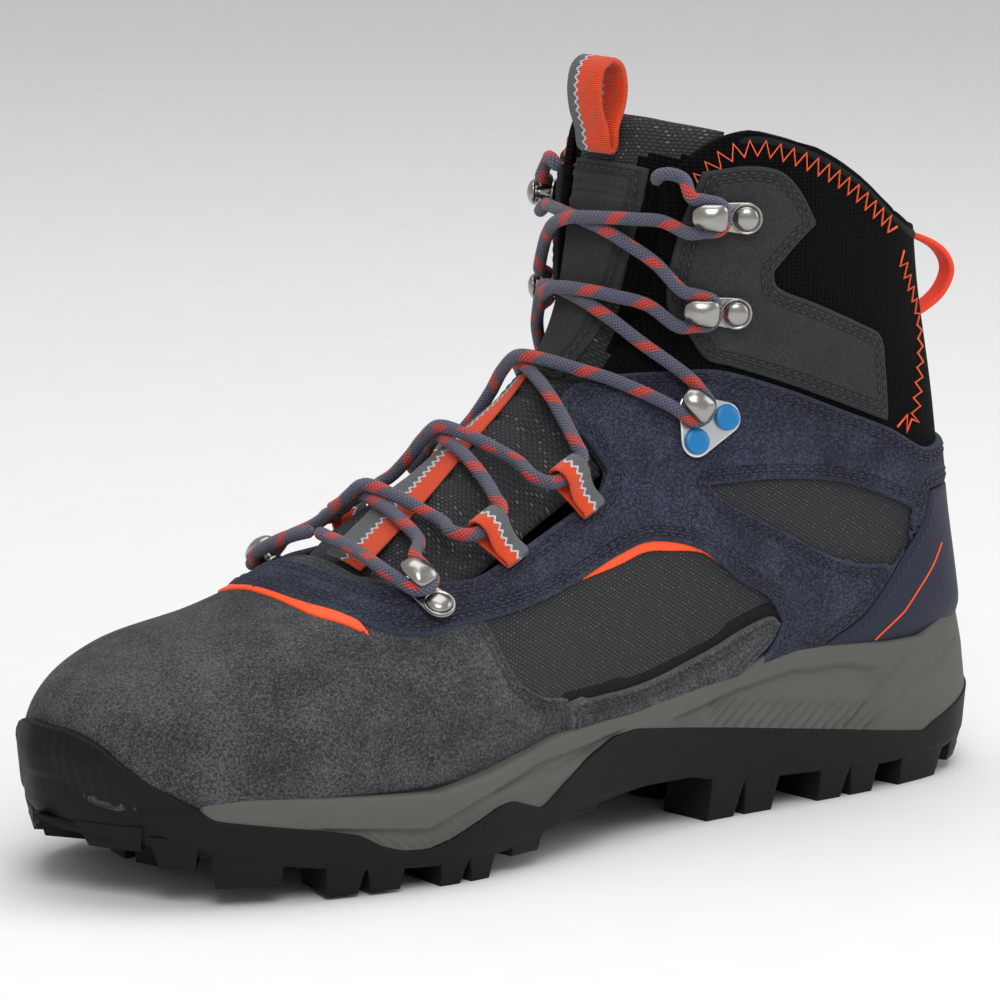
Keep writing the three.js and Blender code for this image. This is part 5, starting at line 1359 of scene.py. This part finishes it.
def build_hardware():
    t = np.arange(48) * 2 * np.pi / 48
    power = lambda v: np.sign(v) * np.abs(v) ** 0.62
    wing = np.column_stack([4.7 * power(np.cos(t)), power(np.sin(t)) * (3.5 + 0.8 * np.cos(t))])
    for side, sign in SIDES:
        for name, (u, angle, rivets) in HOOKS.items():
            at = guide_frame(u, sign * angle)
            flip = at[4]
            low = name == "hook_lower"
            spots = [(x, y * flip) for x, y in rivets]
            outline = hull(np.concatenate([around(3.3)] + [around(4.2, 40, s) for s in spots]))
            plate = struck(f"{name}_plate_{side}", at, outline,
                           [(0.02, PLATE_LOW), (0.97, PLATE_LOW), (1.0, PLATE_LOW + 0.2),
                            (1.0, PLATE_HIGH - 0.25),
                            (0.975, PLATE_HIGH - 0.05), (0.94, PLATE_HIGH), (0.02, PLATE_HIGH)],
                           BLUE_PLATE if low else NICKEL)
            parts = [struck(f"{name}_post_{side}", at, around(POST_R + 0.2),
                            [(0.02, PLATE_LOW), (1.5, PLATE_LOW), (1.3, PLATE_HIGH + 0.2),
                             (1.0, PLATE_HIGH + 0.6),
                             (1.0, CAP_BASE - 0.2), (1.4, CAP_BASE + 0.5), (0.02, CAP_BASE + 0.6)], NICKEL),
                     struck(f"{name}_wing_{side}", at, wing,
                            [(0.02, CAP_BASE + 0.2), (0.6, CAP_BASE + 0.2), (0.96, CAP_BASE + 0.35),
                             (1.0, CAP_BASE + 0.6), (0.985, CAP_BASE + 0.95), (0.93, CAP_BASE + 1.3),
                             (0.8, CAP_BASE + 1.75),
                             (0.6, CAP_BASE + 2.15), (0.35, CAP_BASE + 2.45), (0.12, CAP_BASE + 2.58),
                             (0.02, CAP_BASE + 2.6)], NICKEL, 0.55)]
            if not low:
                parts.append(plate)
                for x, y in spots:
                    parts.append(struck(f"{name}_flange_{side}", at, around(4.15, 48, (x, y)),
                                        [(0.02, PLATE_HIGH - 0.1), (0.99, PLATE_HIGH - 0.1),
                                         (1.0, PLATE_HIGH + 0.3),
                                         (0.95, PLATE_HIGH + 0.55), (0.88, PLATE_HIGH + 0.5),
                                         (0.83, PLATE_HIGH + 0.2),
                                         (0.02, PLATE_HIGH + 0.2)], NICKEL))
            else:
                placed(plate, "root", "nickel")
            placed(join(f"{name}_metal_{side}", parts), "root", "nickel", f"{name}_{side}")
            for k, (x, y) in enumerate(spots):
                number = f"_{k + 1}" if len(spots) > 1 else ""
                flat = [(0.02, 0.0), (0.97, 0.0), (1.0, 0.3), (0.99, 0.75), (0.93, 1.02), (0.5, 1.14),
                        (0.02, 1.16)]
                round_ = [(0.02, 0.0), (0.97, 0.0), (1.0, 0.25), (0.97, 0.6), (0.86, 1.0), (0.66, 1.34),
                          (0.4, 1.55),
                          (0.15, 1.64), (0.02, 1.65)]
                head = struck(f"{name}_rivet_head{number}_{side}", at,
                              around(RIVET_R * (1.08 if low else 1), 48, (x, y)),
                              [(s, PLATE_HIGH + 0.1 + h) for s, h in (flat if low else round_)],
                              BLUE if low else NICKEL)
                placed(head, "root", "blue_rivet" if low else "nickel", f"{name}_rivet{number}_{side}")
        for name, (u, angle) in EYES.items():
            origin, x, y, z, flip = guide_frame(u, sign * angle)
            drop = [(11.4, 3.5), (11.2, 2.55), (6, 2.5), (0, 2.55), (-2.6, 3.6), (-3.65, 6.1), (-2.6, 8.7),
                    (0, 9.7),
                    (2.7, 8.8), (4.6, 6.6), (7, 5.0), (10.6, 4.5)]
            eye = band(f"{name}_tape_{side}", drop, 8.0, (origin, x, z), 0.95, TAPE, turn=float(flip))
            placed(eye, "root", "orange_webbing", f"{name}_{side}")


def lace_points(sign, depths):
    """Where one run of the lace goes, from the lowest bar to where its end is tucked in."""
    points = [off_last(4.02, sign * 1.2, 5.2), off_last(4.0, sign * 18, 5)]
    for i, name in enumerate(STOPS):
        eye = name in EYES
        u, angle = (EYES if eye else HOOKS)[name][:2]
        origin, x, y, z, flip = guide_frame(u, sign * angle)
        r = POST_R + 0.95 + LACE_DIA / 2
        if eye:
            local = [(-5, -8.6, -0.6), (-1.4, -6.8, 0), (0, -4, 0), (0, 4, 0), (-1.4, 6.8, 0),
                     (-5, 8.6, -0.6)]
        else:
            local = [(-5, -4.6, 0), (-1.5, -r, 0), (r * 0.7, -r * 0.75, 0), (r + 0.1, 0, 0),
                     (r * 0.7, r * 0.75, 0),
                     (-1.5, r, 0), (-5, 4.6, 0)]
        level = EYE_LEVEL if eye else LACE_LEVEL
        points += [origin + x * a + y * b * flip + z * (level + c) for a, b, c in local]
        if i < len(STOPS) - 1:
            following = STOPS[i + 1]
            upper = (EYES if following in EYES else HOOKS)[following][0]
            for t in (-0.72, -0.48, -0.24, 0, 0.24, 0.48, 0.72):
                deep = 3.6 + (4.6 - 3.6) * abs(t) ** 1.6 + (depths[i] - 3.6) * math.exp(-(t / 0.3) ** 2)
                where = u + 0.25 + (upper - u - 0.5) * (t + 1) / 2
                points.append(off_last(where, -sign * t * 38, deep))
            sign = -sign
    points += [off_last(u, sign * angle, d) for u, angle,
               d in ((11.93, 32.5, 4.6), (11.95, 27, 4.6), (11.84, 23.2, 3.6),
                                                              (11.7, 23.4, 2.3))]
    return points


def build_laces():
    low, high = 3.6, 7.5
    for name, sign, depths in (("a", -1, [low, high, low, high, low]),
                               ("b", 1, [high, low, high, low, high])):
        line, run = evenly(catmull(lace_points(sign, depths)), 0.8)
        cord = tube(f"lace_cord_{name}", line, run, LACE_DIA / 2, BRAID)
        placed(cord, "root", "lace", f"lace_run_{name}")


# ---- tongue ---------------------------------------------------------------------------------------
def tongue_top(u, a):
    """Height of the tongue's outside over the last: drawn under the upper at its edges."""
    edge = 32 - 13 * smoothstep((u - 5.9) / 0.7) + 0.2 * smoothstep((u - 8.4) / 0.8)
    bulge = smoothstep((u - 4.1) / 0.5) * smoothstep((edge - np.abs(a)) / 10)
    return -2.4 + 2.8 * bulge - 0.6 * smoothstep((u - 12.5) / 0.36)


def tongue_under(u, a):
    thick = 4.0 * (1 + 1.1 * smoothstep((u - 10.6) / 1.6)) * (0.55 + 0.45 * smoothstep((46 - np.abs(a)) / 14))
    return tongue_top(u, a) - thick + 4 * smoothstep((u - 12.45) / 0.41)


CHANNELS = [4.55, 4.95, 5.4, 5.9, 6.4, 6.9]


def build_tongue():
    line, _ = evenly(np.linspace(3.5, 12.86, 400)[:, None], 0.1)
    us = np.concatenate([line[:, 0], [12.8, 12.84]])
    us = np.unique(np.round(us, 4))
    angles = np.linspace(-44, 44, 61)
    ridge = on_last(us, 0.0)
    run = np.concatenate([[0], np.cumsum(np.linalg.norm(np.diff(ridge, axis=0), axis=1))])
    rows, uv = [], []
    for u, along in zip(us, run):
        top, low = tongue_top(u, angles), tongue_under(u, angles)
        lower = smoothstep((7.5 - u) / 0.2)
        for channel in CHANNELS:
            bent = channel + 0.10 * (angles / 20) ** 2
            top = top - lower * 1.1 * np.exp(-((u - bent) / 0.05) ** 2)
        seam_ = smoothstep((u - 7.3) / 0.3) * np.exp(-((np.abs(angles) - 22.5) / 1.2) ** 2)
        top = top - 0.7 * seam_
        slim = math.sqrt(max(1 - max((u - 12.5) / 0.36, 0) ** 3, 0.04))
        slim = slim * np.sqrt(np.maximum(1 - np.maximum((np.abs(angles) - 40) / 4.2, 0) ** 3, 0.03))
        middle, half = (top + low) / 2, (top - low) / 2 * slim
        outer = off_last(np.full(61, u), angles, middle + half)
        inner = off_last(np.full(61, u), angles, middle - half)[::-1]
        rows.append(np.concatenate([outer, inner]))
        flat = np.column_stack([outer[:, 1], np.full(61, along)]) / 100
        uv.append(np.concatenate([flat, flat[::-1]]))
    tongue = loft("tongue_padding", rows, TONGUE_MESH, uv, mend=False)
    tongue.data.materials.append(KNIT)
    centres = np.array([f.center for f in tongue.data.polygons]) * 1000 + MIDDLE
    beside = ((centres[:, 2] > 118 + 0.25 * np.abs(centres[:, 1]))
              & (centres[:, 2] < 172)
              & (centres[:, 0] > 8))
    tongue.data.polygons.foreach_set("material_index", (beside & (np.abs(centres[:, 1]) > 11.5)).astype(int))
    shell = bmesh.new()
    shell.from_mesh(tongue.data)
    bmesh.ops.recalc_face_normals(shell, faces=shell.faces)
    shell.to_mesh(tongue.data)
    shell.free()
    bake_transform(tongue)
    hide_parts("tongue_body", "tongue_top")

    # buffed leather face of the upper tongue, with two creases
    u, a = FORM[:, 0], FORM[:, 1]
    reach = np.abs(on_last(u, 16.6)[:, 1])
    y, up = SURFACE[:, 1], (u - 7.35) * 13.2
    s = np.minimum(reach - np.abs(y), np.minimum(up, (11.96 - u) * 12.6))
    s = np.minimum(s, (up - 0.75 * (np.abs(y + 3) - 3.5)) / 1.25)
    s = np.where(np.abs(a) > 60, -40, s)

    def swell(points):
        u, a = points[:, 0], points[:, 1]
        y = on_last(u, a)[:, 1]
        high = tongue_top(u, a)
        for crease, lean in ((11.42, 0.002), (11.26, -0.001)):
            high = high - 0.45 * np.exp(-((u - crease - lean * y) / 0.05) ** 2)
        return high

    face = Panel("tongue_face_nubuck", s, 0.3, 1.15, 0.9, swell)
    placed(face.build(NUBUCK), "root", "nubuck", "tongue_face")
    rows_ = [face.line(1.9, lambda at: (at[:, 2] < 126) | (at[:, 2] > 158), 0.08)]
    seam("tongue_stitching", rows_, stitch_tree(), THREAD_GREY, slot="nubuck")

    # tape that keeps the laces on the middle of the tongue
    us = np.linspace(3.95, 7.28, 150)
    ridge = on_last(us, 0.0)
    run = np.concatenate([[0], np.cumsum(np.linalg.norm(np.diff(ridge, axis=0), axis=1))])
    rows, uv = [], []
    for u, along in zip(us, run):
        centre = -13 + 22 * (u - 4) / 3.2
        across = np.linspace(-1, 1, 9)
        rise = np.array([0.1, 0, 0, 0, 0, 0, 0, 0, 0.1])
        half_mm = abs(on_last(u, centre + 7.5)[1] - on_last(u, centre - 7.5)[1]) / 2
        outer = off_last(np.full(9, u), centre + across * 7.5, 1.5 - rise)
        inner = off_last(np.full(9, u), centre + across * 7.5, 0.7 + 0 * rise)[::-1]
        rows.append(np.concatenate([outer, inner]))
        flat = np.column_stack([-across * half_mm, np.full(9, along)]) / 100
        uv.append(np.concatenate([flat, flat[::-1]]))
    keeper = loft("tongue_keeper_tape", rows, TAPE, uv)
    placed(keeper, "root", "orange_webbing", "tongue_keeper")


# ---- collar and lining ----------------------------------------------------------------------------
def collar_height(angles):
    """The station on the last at which the collar ends, at each angle."""
    low, high = np.full(len(angles), 8.0), np.full(len(angles), 13.0)
    for _ in range(40):
        middle = (low + high) / 2
        at = on_last(middle, angles)
        under = at[:, 2] < np.interp(at[:, 0], COLLAR_EDGE[:, 0], COLLAR_EDGE[:, 1])
        low, high = np.where(under, middle, low), np.where(under, high, middle)
    return low


def foam_depth(u):
    return 6.2 * smoothstep((u - 10) / 1.4)


def build_collar():
    angles = np.linspace(47, 313, 160)
    top = collar_height(angles)
    size = np.linalg.norm(on_last(top, angles) - on_last(top - 0.2, angles), axis=1) / 0.2
    # the roll: how far below the collar's edge, and how deep under the last's surface
    section = [(3.0, 0.2), (2.6, 0.62), (1.7, 0.72), (0.8, 0.3), (0.15, -0.9), (-0.15, -2.6), (-0.2, -4.6),
               (0.2, -6.8),
               (1.3, -8.8), (3.2, -10.0), (6.5, -10.5), (12, -10.3), (19, -9.8), (26, -8.6), (26, -7.6),
               (16, -7.2),
               (8, -5.5), (4, -3)]
    rows = []
    ends = np.minimum((angles - 47) / 6, (313 - angles) / 6)
    slim = np.sqrt(1 - (1 - np.clip(ends, 0.05, 1)) ** 2)
    for below, deep in section:
        deep_ = np.where(slim < 1, -3.2 + (deep + 3.2) * (0.45 + 0.55 * slim), deep)
        rows.append(off_last(top - below / size, angles, deep_))
    rows = np.stack(rows, 1)
    roll = loft("collar_padding", list(rows), BINDING)
    placed(roll, "root", "lining", "collar_foam")

    rows = []
    count = 120
    shares = np.linspace(0, 1, count)
    for share in shares:
        middle = 0.6 + 11.9 * share
        start = 1.5 + 45.5 * float(smoothstep((middle - 3.1) / 0.35))
        ring = np.linspace(start, 360 - start, 120)
        reach = collar_height(np.clip(ring, 47, 313)) - 3.2 / 12.5
        u = 0.6 + (reach - 0.6) * share
        deep = -(3.8 + foam_depth(u))
        outer = off_last(u, ring, deep - 0.6)
        inner = off_last(u, ring, deep - 1.4)[::-1]
        rows.append(np.concatenate([outer, inner]))
    lining = loft("lining_cloth", rows, LINING)
    placed(lining, "root", "lining", "lining")


def build_loops():
    foot = off_last(12.1, 0.0, 3.4)
    outline = [(0, -0.4), (1.8, 0.8), (2.4, 6.4), (4.5, 12), (5.1, 17.6), (3.6, 22.8), (0, 24.8),
               (-3.8, 22.8),
               (-5.4, 17.6), (-4.8, 11.2), (-2.8, 5.6), (-1.8, 0.8)]
    made = band("tongue_loop_tape", outline, 12.5, (foot, np.array([1.0, 0, 0]), np.array([0, 0, 1.0])), 1.6,
                TAPE, shift=2.4)
    placed(made, "tongue_pull", "orange_webbing", "tongue_loop")
    c, s = math.cos(math.radians(-18)), math.sin(math.radians(-18))
    start = np.array([on_last(11.7, 180.0)[0] + 1.4, 0, 0])
    outline = [(3, 118), (10, 120), (19, 126), (22, 133), (19, 139), (10, 143.5), (1, 144), (0.6, 138),
               (2, 130),
               (2.6, 122)]
    made = band("heel_loop_tape", outline, 7.0, (start, np.array([c, s, 0]), np.array([0, 0, 1.0])), 1.6,
                PULL)
    placed(made, "heel_pull", "orange_webbing", "heel_loop")

# ---- camera, light and floor ----------------------------------------------------------------------
def aim(made, place, target, roll=0.0):
    back = (Vector(place) - Vector(target)).normalized()
    made.matrix_world = Matrix.Translation(place) @ back.to_track_quat("Z", "Y").to_matrix().to_4x4() \
        @ Matrix.Rotation(roll, 4, "Z")


def softbox(name, place, target, size, watts, tint="#ffffff"):
    light = bpy.data.lights.new(name, "AREA")
    light.shape, light.size, light.size_y = "RECTANGLE", size[0], size[1]
    light.energy, light.color = watts, paint(tint)[:3]
    made = bpy.data.objects.new(name, light)
    bpy.context.scene.collection.objects.link(made)
    aim(made, place, target)


def studio():
    floor = bpy.data.meshes.new("floor")
    floor.from_pydata([(-6, -6, 0), (6, -6, 0), (6, 6, 0), (-6, 6, 0)], [], [(0, 1, 2, 3)])
    made = bpy.data.objects.new("floor", floor)
    bpy.context.scene.collection.objects.link(made)
    # matt white paper sweep
    paper = smooth_coat("white paper", "#f4f4f4", "#f8f8f8", 0.9, 3.0, 0.0, 0.1)
    floor.materials.append(paper)
    world = bpy.data.worlds.new("studio")
    bpy.context.scene.world = world
    world.use_nodes = True
    world.node_tree.nodes["Background"].inputs[0].default_value = paint("#ffffff")
    world.node_tree.nodes["Background"].inputs[1].default_value = 0.5
    softbox("key", (-0.9, -1.3, 1.5), (0, 0, 0.08), (1.0, 1.0), 17)
    softbox("top", (0.2, 0.1, 1.8), (0, 0, 0.1), (1.4, 1.4), 12)
    softbox("fill", (1.5, -1.0, 0.8), (0, 0, 0.1), (1.0, 1.0), 6)
    scene = bpy.context.scene
    scene.view_settings.view_transform = "Standard"


def photographer():
    azimuth, elevation = math.radians(-39.6), math.radians(9.6)
    target = metres([0, 0, 90.0])
    back = np.array([math.sin(azimuth) * math.cos(elevation), -math.cos(azimuth) * math.cos(elevation),
                     math.sin(elevation)])
    lens = bpy.data.cameras.new("camera")
    lens.sensor_width, lens.lens = 36, 204.1
    lens.shift_x, lens.shift_y = -0.0022, -0.0249
    lens.clip_start, lens.clip_end = 0.05, 50
    made = bpy.data.objects.new("camera", lens)
    bpy.context.scene.collection.objects.link(made)
    aim(made, target + 1.466 * back, target, math.radians(0.5))
    bpy.context.scene.camera = made


# heat-set board and moulded stiffeners, hidden inside
BOARD = smooth_coat("pressed fibre board", "#a89370", "#b9a37c", 0.9, 0.8, 0.0001, 0.2)
STIFF = smooth_coat("moulded stiffener", "#c2bdaf", "#cfcabd", 0.7, 0.6, 0.00006, 0.4)
# spring steel, left as rolled
STEEL = metal("rolled spring steel", "#9a9ea3", 0.35, 0.06)

photographer()
build_laces()
build_hardware()
build_tongue()
build_collar()
build_upper()
build_sole()
build_loops()
for name, finish, slot in (("shank", STEEL, "shank_steel"), ("insole_board", BOARD, "board"),
                           ("toe_puff", STIFF, "stiffener"), ("heel_counter", STIFF, "stiffener")):
    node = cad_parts[name]
    node.data.materials.clear()
    node.data.materials.append(finish)
studio()
